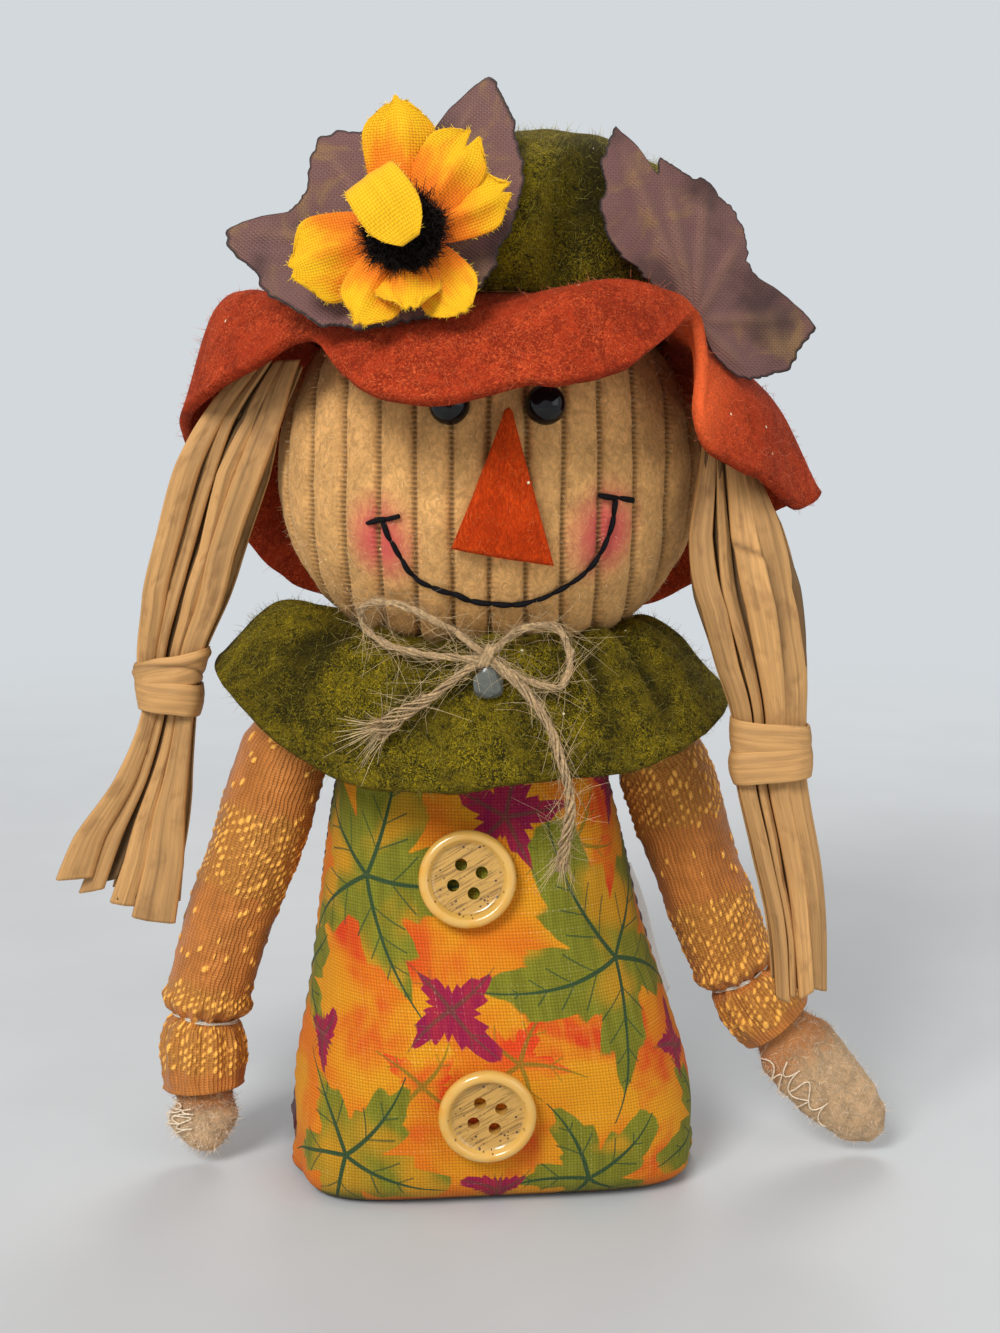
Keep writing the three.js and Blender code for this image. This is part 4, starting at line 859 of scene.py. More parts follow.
def leaf_satin(looks):
    def write(b):
        x, y, _ = b.parts(b.sheet())
        twill = b.sine((x + y * 1.35) * (TURN / 0.62))
        weave = b.use(woven(), Place=b.joined(x, y), Pitch=(0.32, 0.32, 1))
        patch = b.noise(b.sheet(), 0.13, 4.0, 0.6, 0.8)
        tan = b.band(patch, 0.5, 0.68)
        colour = b.mix(tan, looks.leaf, looks.leaf_tan)
        stain = b.noise(b.vector("ADD", b.sheet(), (31, 7, 0)), 0.1, 3.0)
        colour = b.mix(b.band(stain, 0.5, 0.7), colour, looks.leaf_dark)
        colour = b.scale(colour, twill * 0.1 + (weave["Height"] * 0.3 + 0.82))
        # Painted highlight: lighter streaks along the raised ribs
        colour = b.mix(b.mark("rib") * 0.16, colour, b.scale(looks.leaf_tan, 1.4))
        b.paint(b.mix(b.band(b.mark("edge"), 0.965, 1.0), colour, (0.03, 0.02, 0.02)))
        b.gloss(b.band(patch, 0.3, 0.7, 0.4, 0.55))
        depth = twill * 0.35 + weave["Height"] * 0.5
        b.relief(depth, 0.7, 0.12)

    return dressed(
        "leaf_satin", 0.5, write, Sheen_Weight=0.05, Sheen_Roughness=0.4, Specular_IOR_Level=0.3,
        Specular_Tint=(1.0, 0.8, 0.62))


def petal_cloth(looks):
    def write(b):
        sheet = b.sheet()
        weave = b.use(woven(), Place=sheet, Pitch=(0.34, 0.34, 1))
        streak = b.noise(b.scaled(sheet, (0.5, 0.16, 1)), 1.0, 3.0, 0.6)
        heat = b.mark("root") + (streak - 0.5) * 0.8
        colour = b.mix(b.band(heat, 0.1, 0.58), looks.petal, looks.petal_root)
        colour = b.mix(b.band(heat, 0.5, 0.95, 0.0, 0.85), colour, (0.72, 0.11, 0.01))
        light = weave["Height"] * 0.4 + weave["Slub"] * 0.2
        b.paint(b.scale(colour, light + 0.66))
        b.relief(weave["Height"], 0.6, 0.12)

    return dressed("petal_cloth", 0.7, write, Sheen_Weight=0.06, Specular_IOR_Level=0.25)


def knit_cloth(looks):
    def write(b):
        x, y, _ = b.parts(b.sheet())
        wander = b.noise(b.sheet(), 0.3, 2.0) * 1.2
        rib = b.sine((x + wander) * (TURN / 0.6))
        thread = b.sine((x + wander) * (TURN / 0.3))
        loops = b.sine(y * (TURN / 0.38) + rib * 0.8)
        nub = b.mark("nub")
        patch = b.noise(b.scaled(b.sheet(), (1.0, 0.35, 1.0)), 0.35, 4.0, 0.65)
        shine = rib * 0.14 + thread * 0.08 + loops * 0.09
        colour = b.mix(b.band(patch, 0.3, 0.7), b.scale(looks.knit, 0.8), b.scale(looks.knit, 1.18))
        colour = b.scale(colour, shine + 0.92)
        colour = b.mix(b.mark("gold") * 0.7, colour, b.scale((0.52, 0.215, 0.04), shine + 0.9))
        colour = b.mix(b.band(nub, 0.22, 0.55), colour, looks.nub)
        b.paint(b.scale(colour, b.band(nub, 0.1, 0.8, 0.9, 1.25)))
        b.gloss(b.band(nub, 0.2, 0.7, 0.42, 0.28))
        b.relief(rib * 0.7 + (loops * 0.3 + thread * 0.25), 0.5, 0.2)

    return dressed(
        "knit_cloth", 0.5, write, Sheen_Weight=0.04, Specular_IOR_Level=0.4, Specular_Tint=(1.0, 0.62, 0.3))


def raffia_paper(looks):
    def write(b):
        place = b.sheet()
        x, y, _ = b.parts(place)
        shift = b.mark("strip") * 17.0
        grain = b.use(grained(), Place=b.joined(x + shift, shift, y))
        colour = b.mix(
            b.band(grain["Broad"], 0.3, 0.7), b.scale(looks.raffia, 0.8), b.scale(looks.raffia, 1.16))
        colour = b.mix(b.band(grain["Blotch"], 0.5, 0.72, 0.0, 0.55), colour, looks.raffia_dark)
        colour = b.scale(colour, b.band(grain["Fine"], 0.28, 0.72, 0.86, 1.1))
        colour = b.scale(colour, b.band(b.mark("strip"), 0.0, 1.0, 0.86, 1.1))
        # Painted light and shade: the edge mark is a painted highlight on the turned edges, the crease mark
        # is painted shade in the creases and at the flap, and the deep mark is painted shade on the strips
        # inside the bundle
        colour = b.mix(b.mark("edge") * 0.55, colour, b.scale(looks.raffia, 1.5))
        colour = b.mix(b.mark("crease") * 0.65, colour, b.scale(looks.raffia_dark, 0.4))
        b.paint(b.scale(colour, b.band(b.mark("deep"), 0.0, 1.0, 1.0, 0.3)))
        b.gloss(b.band(grain["Fine"], 0.3, 0.7, 0.62, 0.78))
        b.relief(grain["Fine"] + grain["Broad"] * 0.7, 0.45, 0.18)

    return dressed("raffia_paper", 0.7, write, Specular_IOR_Level=0.35)


def button_resin(looks):
    def write(b):
        place = b.sheet()
        x, y, _ = b.parts(place)
        reach = b.math("SQRT", x * x + y * y)
        turned = b.joined(y * 0.87 - x * 0.5, 0.0, x * 0.87 + y * 0.5)
        grain = b.noise(b.scaled(turned, (3.0, 1.0, 0.2)), 1.0, 4.0, 0.7, 0.5)
        dish = b.band(reach, 4.5, 4.9, 1.0, 0.0)
        colour = b.mix(dish * 0.3, looks.button, looks.button_grain)
        colour = b.mix(dish * b.band(grain, 0.48, 0.64, 0.0, 0.8), colour, b.scale(looks.button_grain, 0.75))
        rim = b.band(reach, 4.6, 6.4)
        colour = b.mix(rim * b.band(b.noise(place, 0.35, 2.0), 0.4, 0.65), colour, looks.button_amber)
        ring = b.band(reach, 2.6, 3.2) * b.band(reach, 4.9, 5.3, 1.0, 0.0)
        core = b.band(reach, 0.8, 2.2, 1.0, 0.0)
        spots = b.use(specked(), Place=place, Spacing=(0.52, 0.52, 0.52), Size=0.34, Share=0.3)["Specks"]
        near = b.band(b.noise(place, 0.9, 2.0), 0.42, 0.56)
        specks = spots * (b.math("MAXIMUM", ring, core * 0.7) * near)
        b.paint(b.mix(specks, colour, (0.07, 0.028, 0.012)))
        b.relief(grain * 0.4 - specks, 0.25, 0.1)

    return dressed(
        "button_resin", 0.22, write, Coat_Weight=0.5, Coat_Roughness=0.08, Subsurface_Weight=0.08,
        Subsurface_Scale=0.001)


def mitten_cloth(looks):
    """Fuzzy hand cloth: warm and brown where it leaves the cuff, pale towards the tip."""

    def write(b):
        place = b.place()
        felt = b.use(felted(), Place=place, Lump=(2.2, 2.2, 2.2))
        colour = b.mix(b.band(felt["Blotch"], 0.36, 0.6), b.scale(looks.hand, 0.72), looks.hand)
        colour = b.mix(b.band(felt["Fibres"], 0.52, 0.7, 0.0, 0.6), colour, (0.86, 0.72, 0.52))
        near = b.mark("root") + (felt["Blotch"] - 0.5) * 1.4
        colour = b.mix(b.band(near, 0.1, 1.0, 0.0, 0.8), colour, b.scale(looks.knit, 1.1))
        b.paint(b.scale(colour, b.band(felt["Pile"], 0.25, 0.75, 0.75, 1.2)))
        b.relief(felt["Pile"] + felt["Fibres"], 0.8, 0.4)

    return dressed("mitten_cloth", 0.95, write, Sheen_Weight=0.15, Specular_IOR_Level=0.12)


def plain_finish(name, colour, roughness, scale=1.6, depth=0.3, vary=0.25, **constants):
    """A plain finish with a fine uneven surface."""

    def write(b):
        place = b.place()
        rough = b.noise(place, scale, 4.0, 0.6)
        b.paint(b.scale(colour, b.band(rough, 0.25, 0.75, 1 - vary, 1 + vary)))
        b.relief(rough, depth, 0.15)

    return dressed(name, roughness, write, **constants)


# Settings

def colour(name, code, description):
    return bpy.props.FloatVectorProperty(
        name=name, description=description, subtype="COLOR", size=3, min=0, max=1, default=tint(code)
    )


def length(name, default, description):
    return bpy.props.FloatProperty(name=name, description=description, default=default, min=0, unit="LENGTH")


class DollClothSettings(bpy.types.PropertyGroup):
    gold: colour("Print gold", "#cf8a18", "Gold of the print's ground")
    orange: colour("Print orange", "#cc6c14", "Orange blended into the print's ground")
    red: colour("Print red", "#c63c18", "Red blended into the print's ground")
    green: colour("Print green", "#6b6a1c", "Green of the large printed leaves")
    vein: colour("Print veins", "#33482a", "Dark green of the printed veins")
    plum: colour("Print plum", "#861640", "Plum of the small printed leaves")
    maroon: colour("Back cotton", "#4a1620", "Cotton of the back panel")
    thread_pitch: length("Thread pitch", 0.43 * MM, "Distance between the print cotton's threads")
    cord: colour("Corduroy", "#d09d60", "Corduroy of the head")
    blush: colour("Blush", "#cf4a50", "Powder rubbed on the cheeks")
    wale: length("Wale", 4.55 * MM, "Width of one cord of the head's corduroy")
    wale_depth: length("Wale depth", 0.6 * MM, "Depth of the grooves between the cords")
    knit: colour("Knit", "#c87b3a", "Ribbed knit of the sleeves")
    nub: colour("Nubs", "#eaaa4c", "Gold nubs knitted into the sleeves")
    hand: colour("Hands", "#deb688", "Fuzzy cloth of the hands")


class DollHatSettings(bpy.types.PropertyGroup):
    rust: colour("Brim felt", "#aa3417", "Rust felt of the brim")
    rust_dark: colour("Brim felt, dark", "#74200e", "Darkest wool in the brim")
    rust_light: colour("Brim felt, light", "#de5f30", "Lightest wool in the brim")
    olive: colour("Crown felt", "#574a0e", "Olive felt of the crown and the collar")
    olive_dark: colour("Crown felt, dark", "#171607", "Darkest wool in the crown and the collar")
    olive_light: colour("Crown felt, light", "#a79218", "Lightest wool in the crown and the collar")
    leaf: colour("Leaf", "#6e4c49", "Mauve brown of the cloth leaves")
    leaf_tan: colour("Leaf, tan", "#836345", "Tan patches of the cloth leaves")
    leaf_dark: colour("Leaf, dark", "#4a3332", "Dark patches of the cloth leaves")
    petal: colour("Petal", "#f2b60a", "Yellow of the petals")
    petal_root: colour("Petal root", "#ee7c08", "Orange of the petals towards the middle")


class DollTrimSettings(bpy.types.PropertyGroup):
    raffia: colour("Raffia", "#bf9058", "Paper raffia of the pigtails")
    raffia_dark: colour("Raffia, dark", "#8a6138", "Darker stains of the raffia")
    twine: colour("Twine", "#b2946a", "Jute of the bow")
    button: colour("Button", "#d9aa54", "Resin of the buttons")
    button_grain: colour("Button grain", "#8a6228", "Brown streaks in the buttons")
    button_amber: colour("Button rim", "#dc9c2e", "Amber at the buttons' rims")
    nose: colour("Nose", "#cc3e0b", "Orange felt of the nose")
    floor: colour("Floor", "#c4c6c7", "Plain floor under the doll")
    backdrop: colour("Backdrop", "#d3d8dc", "Plain backdrop into which the floor fades")


# Forms shared by several pieces

BAG_WIDTH = through([
    [0, 27], [2.8, 27.28], [11.2, 27.4], [32.75, 22.864], [51.5, 19.3], [60.55, 17.24], [65.98, 12.605],
    [69.6, 9]])
BAG_DEPTH = through([
    [0, 20], [2.8, 22.25], [14, 24.13], [20.3, 24.5], [38.375, 20.3], [51.5, 17.5], [60.55, 15.8],
    [65.98, 11.975], [69.6, 9]])
BAG_MIDDLE = through([[0, 0], [14, 0], [41.76, -2], [59.16, -2], [69.6, 0]])
BAG_SQUARENESS = through([[0, 5], [8.4, 3.8], [25.2, 2.6], [69.6, 2.6]])
BAG_TURN = through([[0, math.radians(6)], [51.5, 0], [69.6, 0]])


def bag_spots(angle, height, grow=0.0):
    """The bag's outside at an angle from the front, in radians, and a height."""
    power = 2 / BAG_SQUARENESS(height)
    x = (BAG_WIDTH(height) + grow) * signed(np.sin(angle), power)
    y = -(BAG_DEPTH(height) + grow) * signed(np.cos(angle), power)
    turn = BAG_TURN(height)
    spots = [x * np.cos(turn) - y * np.sin(turn), x * np.sin(turn) + y * np.cos(turn), height + 0 * x]
    return points(spots[0] + BAG_MIDDLE(height), *spots[1:])


def on_head(x, z, lift):
    """The head's front face at x and z, pushed out by a lift."""
    wide, deep, high = HEAD_WIDTH / 2 + lift, HEAD_DEPTH / 2 + lift, HEAD_HEIGHT / 2 + lift
    inside = np.maximum(1 - (x / wide) ** 2 - ((z - HEAD_Z) / high) ** 2, 0)
    return points(x, -deep * np.sqrt(inside), z)


def brim_spots(angle, share):
    inner, middle = SEAM_RADIUS - 1.5, SEAM_RADIUS + BRIM_MID_REACH(angle)
    radius = bowed(share, inner, middle, SEAM_RADIUS + BRIM_EDGE_REACH(angle))
    rise = bowed(share, 0, BRIM_MID_RISE(angle), BRIM_EDGE_RISE(angle))
    turn = np.radians(angle - BRIM_EDGE_TURN(angle) * share**2)
    z = HAT_Z + HAT_TILT * SEAM_RADIUS * np.cos(turn) + rise
    return points(radius * np.sin(turn), -radius * np.cos(turn), z)


BRIM_MID_REACH = around([
    (-170, 5.5), (-135, 7.5), (-110, 9.5), (-92, 9.5), (-72, 8.5), (-55, 6.5), (-38, 5.5), (-22, 7.5),
    (-8, 8.5), (8, 9), (20, 9.5), (32, 9), (45, 6.5), (53, 6.5), (62, 9), (76, 11), (90, 11.5), (110, 8.5),
    (135, 6.5), (170, 5.5)])
BRIM_MID_RISE = around([
    (-170, -15), (-135, -12), (-110, -5), (-92, 3), (-72, 3), (-55, 1.2), (-38, 0.2), (-22, -2.4), (-8, -4),
    (6, -3.2), (16, -0.6), (26, 1), (37, 0.8), (45, 0.6), (53, -3), (62, -6.8), (76, -8.8), (90, -9.6),
    (110, -11.5), (135, -14), (170, -15)])
BRIM_EDGE_REACH = around([
    (-170, 7.5), (-135, 15.5), (-110, 17), (-92, 16), (-72, 14), (-55, 11), (-38, 9), (-22, 13.5), (-8, 15),
    (8, 15), (20, 15), (31, 12.9), (39, 10.8), (45, 9.9), (52, 10.4), (62, 12), (70, 14.2), (78, 15.6),
    (86, 18.8), (95, 18), (110, 14.5), (135, 13.5), (170, 7.5)])
BRIM_EDGE_RISE = around([
    (-170, -38), (-135, -34.5), (-110, -21), (-92, -13), (-72, -10), (-55, -7), (-38, -4.5), (-22, -11),
    (-8, -13), (8, -10.6), (21, -9.4), (31, -5.8), (39, -2.7), (45, -1.5), (51, -7), (57, -13), (64, -17.6),
    (72, -20), (80, -23.5), (87, -21.5), (96, -22), (110, -26), (135, -36), (170, -38)])
BRIM_EDGE_TURN = around([
    (-170, 0), (0, 0), (36, 0), (45, 0), (51, 4), (57, 13), (64, 17), (72, 13), (82, 5), (92, 0), (170, 0)])

COLLAR_MID_REACH = around([
    (-170, 8.5), (-140, 8.5), (-115, 10.5), (-90, 15.5), (-65, 13.5), (-42, 9.5), (-20, 9.5), (0, 9.5),
    (22, 9.5), (45, 9.5), (66, 10), (90, 10.5), (115, 9.5), (145, 8.5), (170, 8.5)])
COLLAR_MID_RISE = around([
    (-170, 3.6), (-140, 3.6), (-115, 4.6), (-90, 7.4), (-65, 5.8), (-42, 4), (-20, 4), (0, 4.2), (22, 4),
    (45, 4), (66, 4.4), (90, 5.2), (115, 4.2), (145, 3.6), (170, 3.6)])
COLLAR_EDGE_REACH = around([
    (-170, 16.5), (-140, 18.5), (-115, 22.5), (-92, 25.1), (-65, 25), (-42, 19.5), (-20, 17.5), (0, 17),
    (22, 18), (45, 19.5), (66, 20), (90, 21.5), (115, 19.5), (145, 17.5), (170, 16.5)])
COLLAR_EDGE_RISE = around([
    (-170, -9.5), (-140, -7.5), (-115, -3), (-92, 0.5), (-65, -3.4), (-42, -11), (-20, -12.6), (0, -12.2),
    (22, -11.2), (45, -10), (66, -8), (90, -5), (115, -6), (145, -8.5), (170, -9.5)])


def collar_spots(angle, share):
    middle, edge = COLLAR_NECK + COLLAR_MID_REACH(angle), COLLAR_NECK + COLLAR_EDGE_REACH(angle)
    radius = bowed(share, COLLAR_NECK, middle, edge)
    rise = bowed(share, -0.9, COLLAR_MID_RISE(angle), COLLAR_EDGE_RISE(angle))
    turn = np.radians(angle)
    return points(radius * np.sin(turn), -radius * np.cos(turn), BODY_HEIGHT + rise)


# Gathered folds of the collar: angle, width in degrees, and rise in millimetres
COLLAR_FOLDS = [
    (-74, 8, 0.7), (-57, 6, -2.2), (-44, 7, 0.8), (-20, 7, -0.6), (4, 8, 0.5), (25, 6, 1.2), (35, 4, -2.0),
    (44, 5, 1.2), (54, 4, -2.0), (66, 7, 0.8), (82, 6, -0.7), (120, 9, 0.7), (-120, 9, 0.7), (150, 8, -0.7),
    (-150, 8, -0.7)]


def leaf_left_depth(x, z):
    upward = z - LEAF_LEFT_MIDDLE[1]
    leftward = np.maximum(LEAF_LEFT_MIDDLE[0] - x, 0)
    curl = 0.25 * upward + 0.012 * upward * np.abs(upward) + 0.012 * leftward**2
    return -SEAM_RADIUS - 5.4 + curl - 0.03 * (x - LEAF_LEFT_MIDDLE[0])


def leaf_right_depth(x, z):
    across, upward = x - LEAF_RIGHT_MIDDLE[0], z - LEAF_RIGHT_MIDDLE[1]
    return -SEAM_RADIUS + 3.4 + 0.42 * across + 0.1 * upward + 0.006 * (across**2 + upward**2)


def settings():
    return [getattr(bpy.context.scene, name) for name in SETTINGS]


class DollPiece:
    """What the doll's operators share."""

    bl_options = {"REGISTER", "UNDO"}

    def execute(self, context):
        self.make(*settings())
        return {"FINISHED"}


# Body

def panel(name, turn, seed):
    def place(u, v):
        angle = turn + (u - 0.5) * math.pi
        height = BODY_HEIGHT * v
        side = np.abs(2 * u - 1)
        spots = bag_spots(angle, height)
        middle = points(BAG_MIDDLE(height), 0 * height, height)
        out = unit(spots - middle)
        swell = 0.45 * noise(spots, 11, seed) + 0.22 * noise(spots * (1, 1, 0.35), 3.6, seed + 1)
        gathers = ease(52, 69, height) * (0.7 * np.sin(15 * angle + 2 * noise(spots, 9, 5)))
        corner = 1.7 * bump(height, 0.6, 4.2) * ease(0.84, 1, side)
        seam = -0.75 * ease(0.955, 1, side) + 0.14 * np.sin(height * 2.6) * ease(0.86, 0.97, side)
        hem = -0.9 * bump(height, 0, 0.8) - 0.22 * bump(height, 1.7, 0.5)
        return spots + out * (swell * ease(0, 4, height) + gathers + corner + seam + hem)[..., None]

    # The seam mark is painted shade in the turned-in side seams and along the bottom edge
    def marks(u, v):
        side = np.abs(2 * u - 1)
        return {"seam": np.maximum(ease(0.93, 1, side), ease(1.6, 0.2, BODY_HEIGHT * v))}

    return walled(formed(name, 150, 110, place, marks=marks), COTTON, -1)


def bag_base():
    def place(u, v):
        spots = bag_spots(TURN * u, 0.02 + 0 * u, -1.5) * v[..., None]
        spots[..., 2] = 0.45 + 0.05 * noise(spots, 4, 8)
        return spots

    flat = lambda u, v: place(u, v)[..., :2]
    return walled(formed("base_cloth", 96, 20, place, flat=flat), BASE_COTTON)


def make_body(cloth, hat, trim):
    back = plain_cotton("maroon_cotton", cloth.maroon)
    front = finished(
        panel("front_cloth", 0.0, 11), print_cotton(cloth), "root", "printed_cotton", "front_panel")
    rear = finished(panel("back_cloth", math.pi, 12), back, "root", "maroon_cotton", "back_panel")
    base = finished(bag_base(), back, "root", "maroon_cotton", "base_panel")


class DOLL_OT_body(DollPiece, bpy.types.Operator):
    """Sew the body bag: printed front, maroon back and base, with turned-in side seams"""

    bl_idname = "doll.body"
    bl_label = "Body bag"
    make = staticmethod(make_body)


def make_fillings(cloth, hat, trim):
    fluff = plain_finish("fibre_fluff", (0.82, 0.79, 0.73), 0.95, scale=0.8, depth=0.8, Sheen_Weight=0.3)
    beans = plain_finish("pellet_mass", (0.66, 0.64, 0.55), 0.55, scale=0.5, depth=1.0)
    packs = [("body_filling", "root"), ("head_filling", "root"), ("hat_filling", "root"),
             ("arm_filling_left", "arm_left"), ("arm_filling_right", "arm_right"), ("pellet_filling", "root")]
    for node, body in packs:
        beany = node == "pellet_filling"
        pack = roughened(copied(node + "_pack", node), 1.6 if beany else 3.0, 0.3, 4, sink=0.75)
        slot = "pellets" if beany else "fibre"
        finished(pack, beans if beany else fluff, body, slot, node)


class DOLL_OT_fillings(DollPiece, bpy.types.Operator):
    """Pack the fillings into the body, the head, the hat and the arms"""

    bl_idname = "doll.fillings"
    bl_label = "Fillings"
    make = staticmethod(make_fillings)


LABEL_LOW, LABEL_HIGH = 18.0, 38.0
LABEL_TURN = 72  # degrees by which the label turns back from straight to the side
LABEL_FOLD = [
    (0.2, 0.2, 0), (3, 0.2, 0), (5.3, 0.2, 0), (5.75, 0.6, 0), (5.3, 1.0, 0), (3, 1.0, 0), (0.2, 1.0, 0)]


def make_label(cloth, hat, trim):
    def root(height):
        spots = bag_spots(np.linspace(math.pi / 2, math.pi, 400), height)
        return spots[np.argmin(np.abs(spots[:, 1] - 7))]

    low, high = root(LABEL_LOW), root(LABEL_HIGH)
    lean = math.atan2(high[0] - low[0], high[2] - low[2])
    turn = math.radians(LABEL_TURN)
    fold = Route(LABEL_FOLD)

    def place(u, v):
        path = fold.at(u)
        x, y, z = path[..., 0], path[..., 1], (LABEL_HIGH - LABEL_LOW) * v + 0 * u
        y = y + 0.18 * np.sin(z / 3.1) * x / 5.4 + 0.25 * bump(v, 1, 0.2) * x / 5.4
        x, y = x * math.cos(turn) - y * math.sin(turn), x * math.sin(turn) + y * math.cos(turn)
        x, z = x * math.cos(lean) + z * math.sin(lean), z * math.cos(lean) - x * math.sin(lean)
        return points(x, y, z) + low

    tape = walled(formed("label_cloth", 40, 48, place, outward=False), TAPE)
    surface = plain_cotton("label_tape", (0.78, 0.77, 0.74), 0.28)
    finished(tape, surface, "root", "label_tape", "side_label")


class DOLL_OT_label(DollPiece, bpy.types.Operator):
    """Fold the blank tape label into the side seam"""

    bl_idname = "doll.label"
    bl_label = "Side label"
    make = staticmethod(make_label)


def facing(node):
    """The middle of a flat CAD piece's back face, with its directions across, up and out."""
    spots = np.unique(np.round(spots_of(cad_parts[node]), 4), axis=0)
    middle = spots.mean(0)
    out = np.linalg.svd(spots - middle)[2][2]
    out = out if out[1] < 0 else -out
    up = unit(UP - out * out.dot(UP))
    return middle + out * ((spots - middle) @ out).min(), np.cross(up, out), up, out


# A button's turned profile as reach, nothing and height, and the radius of its holes and their reach
BUTTON_PROFILE = [
    (0, 0, 0), (3, 0, 0), (4.9, 0, 0.05), (5.7, 0, 0.35), (6.22, 0, 0.95), (6.33, 0, 1.6), (6.1, 0, 2.15),
    (5.6, 0, 2.4), (5.15, 0, 2.3), (4.8, 0, 1.75), (4.45, 0, 1.42), (3.6, 0, 1.36), (1.5, 0, 1.34),
    (0, 0, 1.34)]
HOLE_RADIUS, HOLE_REACH = 0.8, 2.02


def button(node, turn):
    middle, across, up, out = facing(node)
    rim = Route(BUTTON_PROFILE)

    def turned(u, v):
        profile = rim.at(v)
        reach, angle = profile[..., 0], TURN * u
        return reach * np.cos(angle), reach * np.sin(angle), profile[..., 2]

    def place(u, v):
        x, y, h = turned(u, v)
        return middle + across * x[..., None] + up * y[..., None] + out * h[..., None]

    flat = lambda u, v: np.stack(turned(u, v)[:2], -1)
    disc = formed(node + "_disc", 96, 56, place, flat=flat)
    drills = []
    for step in range(4):
        angle = math.radians(turn + 90 * step)
        spot = middle + HOLE_REACH * (across * math.cos(angle) + up * math.sin(angle)) + 1.2 * out
        rotation = Vector(out).to_track_quat("Z", "Y").to_euler()
        alone()
        bpy.ops.mesh.primitive_cylinder_add(
            vertices=24, radius=HOLE_RADIUS * MM, depth=6 * MM, location=spot * MM, rotation=rotation)
        drills.append(bpy.context.object)
    drill = joined("drill", drills)
    modified(disc, "BOOLEAN", operation="DIFFERENCE", object=drill, solver="EXACT")
    bpy.data.objects.remove(drill)
    return disc


def make_buttons(cloth, hat, trim):
    resin = button_resin(trim)
    for node, turn in (("button_upper", 24), ("button_lower", 28)):
        disc = finished(button(node, turn), resin, "root", "button", node)
        pick(disc)
        bpy.ops.object.shade_smooth_by_angle(angle=math.radians(38))


class DOLL_OT_buttons(DollPiece, bpy.types.Operator):
    """Turn the two four-hole buttons and glue them on"""

    bl_idname = "doll.buttons"
    bl_label = "Buttons"
    make = staticmethod(make_buttons)


# Head

HEAD_BEND = 55  # degrees from the front up to which the cords look straight from there
GROOVE_MIDDLE, GROOVE_WIDTH = 0.16, 0.36  # where the middle groove runs, and how wide each is


def make_head(cloth, hat, trim):
    pitch, depth = cloth.wale / MM, cloth.wale_depth / MM
    turns = np.radians(np.linspace(0, 180, 361))
    bend = math.radians(HEAD_BEND)
    behind = np.cos(bend) + 0.33 * ease(bend, math.radians(90), turns)
    slope = np.where(turns < bend, np.cos(turns), behind)
    spread = np.concatenate([[0], (slope[1:] + slope[:-1]) / 2 * np.diff(turns)]).cumsum()
    lowest = math.asin(NECK_WIDTH / HEAD_WIDTH)

    def polar(u, v):
        azimuth = (u - 0.5) * TURN
        angle = (math.pi - lowest) * (1 - v)
        reach = HEAD_WIDTH / 2 * np.sin(angle)
        across = np.sign(azimuth) * np.interp(np.abs(azimuth), turns, spread) * reach
        off = across - GROOVE_MIDDLE - pitch * np.round((across - GROOVE_MIDDLE) / pitch)
        return azimuth, angle, reach, np.abs(off)

    def place(u, v):
        azimuth, angle, reach, off = polar(u, v)
        deep = -reach * np.cos(azimuth) * HEAD_DEPTH / HEAD_WIDTH
        spots = points(reach * np.sin(azimuth), deep, HEAD_HEIGHT / 2 * np.cos(angle))
        out = unit(spots / (HEAD_WIDTH**2, HEAD_DEPTH**2, HEAD_HEIGHT**2))
        sunk = depth * np.exp(-((off / GROOVE_WIDTH) ** 2)) + 0.4 * (1 - 2 * off / pitch) ** 2
        lumps = 0.4 * noise(spots, 12, 21) + 0.16 * noise(spots, 3, 22) + 0.08 * noise(spots, 1.1, 23)
        nape = 0.6 * bump(np.abs(azimuth), math.pi, 0.03)
        fade = ease(0.01, 0.08, 1 - v)
        return spots + (0, 0, HEAD_Z) + out * ((0.3 - sunk - nape + lumps) * fade)[..., None]

    marks = lambda u, v: {"groove": np.exp(-((polar(u, v)[3] / 0.5) ** 2))}
    ball = formed("head_cloth", 640, 96, place, marks=marks)
    finished(ball, corduroy_cloth(cloth), "root", "corduroy", "head_cover")
    nap = hairs("corduroy_nap", cloth.cord, (0.85, 0.7, 0.45))
    low = lambda spots, normals: ease(HAT_Z + 6, HAT_Z - 4, spots[:, 2])
    fuzzed(ball, "head_nap", 9000, 0.75, 0.035, nap, "root", "corduroy", seed=31, keep=low)


class DOLL_OT_head(DollPiece, bpy.types.Operator):
    """Make the stuffed corduroy head with its cords and stitched grooves"""

    bl_idname = "doll.head"
    bl_label = "Head"
    make = staticmethod(make_head)


MOUTH = [
    (-13.0, -5.6), (-11.2, -9.6), (-8.4, -13.0), (-4.2, -14.8), (0.6, -16.0), (5.2, -15.8), (9.4, -14.0),
    (12.8, -11.4), (15.0, -7.4), (15.8, -3.0)]
MOUTH_END_LEFT = [(-15.0, -5.9), (-12.9, -5.4), (-10.8, -4.9)]
MOUTH_END_RIGHT = [(13.6, -2.4), (15.8, -2.7), (18.0, -3.1)]


def eyes():
    glass = plain_finish("bead_glass", (0.004, 0.004, 0.005), 0.1, depth=0.02, Specular_IOR_Level=0.3)
    for side in ("left", "right"):
        low, high = (np.array(corner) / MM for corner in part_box("eye_" + side))
        middle = np.array([(low[0] + high[0]) / 2, low[1] + EYE_RADIUS, (low[2] + high[2]) / 2])

        def place(u, v):
            x, z, y = globe(u, v)
            dimple = 1 - 0.05 * bump(math.pi * v, 0, 0.14)
            return middle + EYE_RADIUS * points(x, -y, z) * dimple[..., None] * (1, 0.94, 1)

        bead = formed("eye_bead_" + side, 40, 28, place)
        finished(bead, glass, "root", "bead", "eye_" + side)


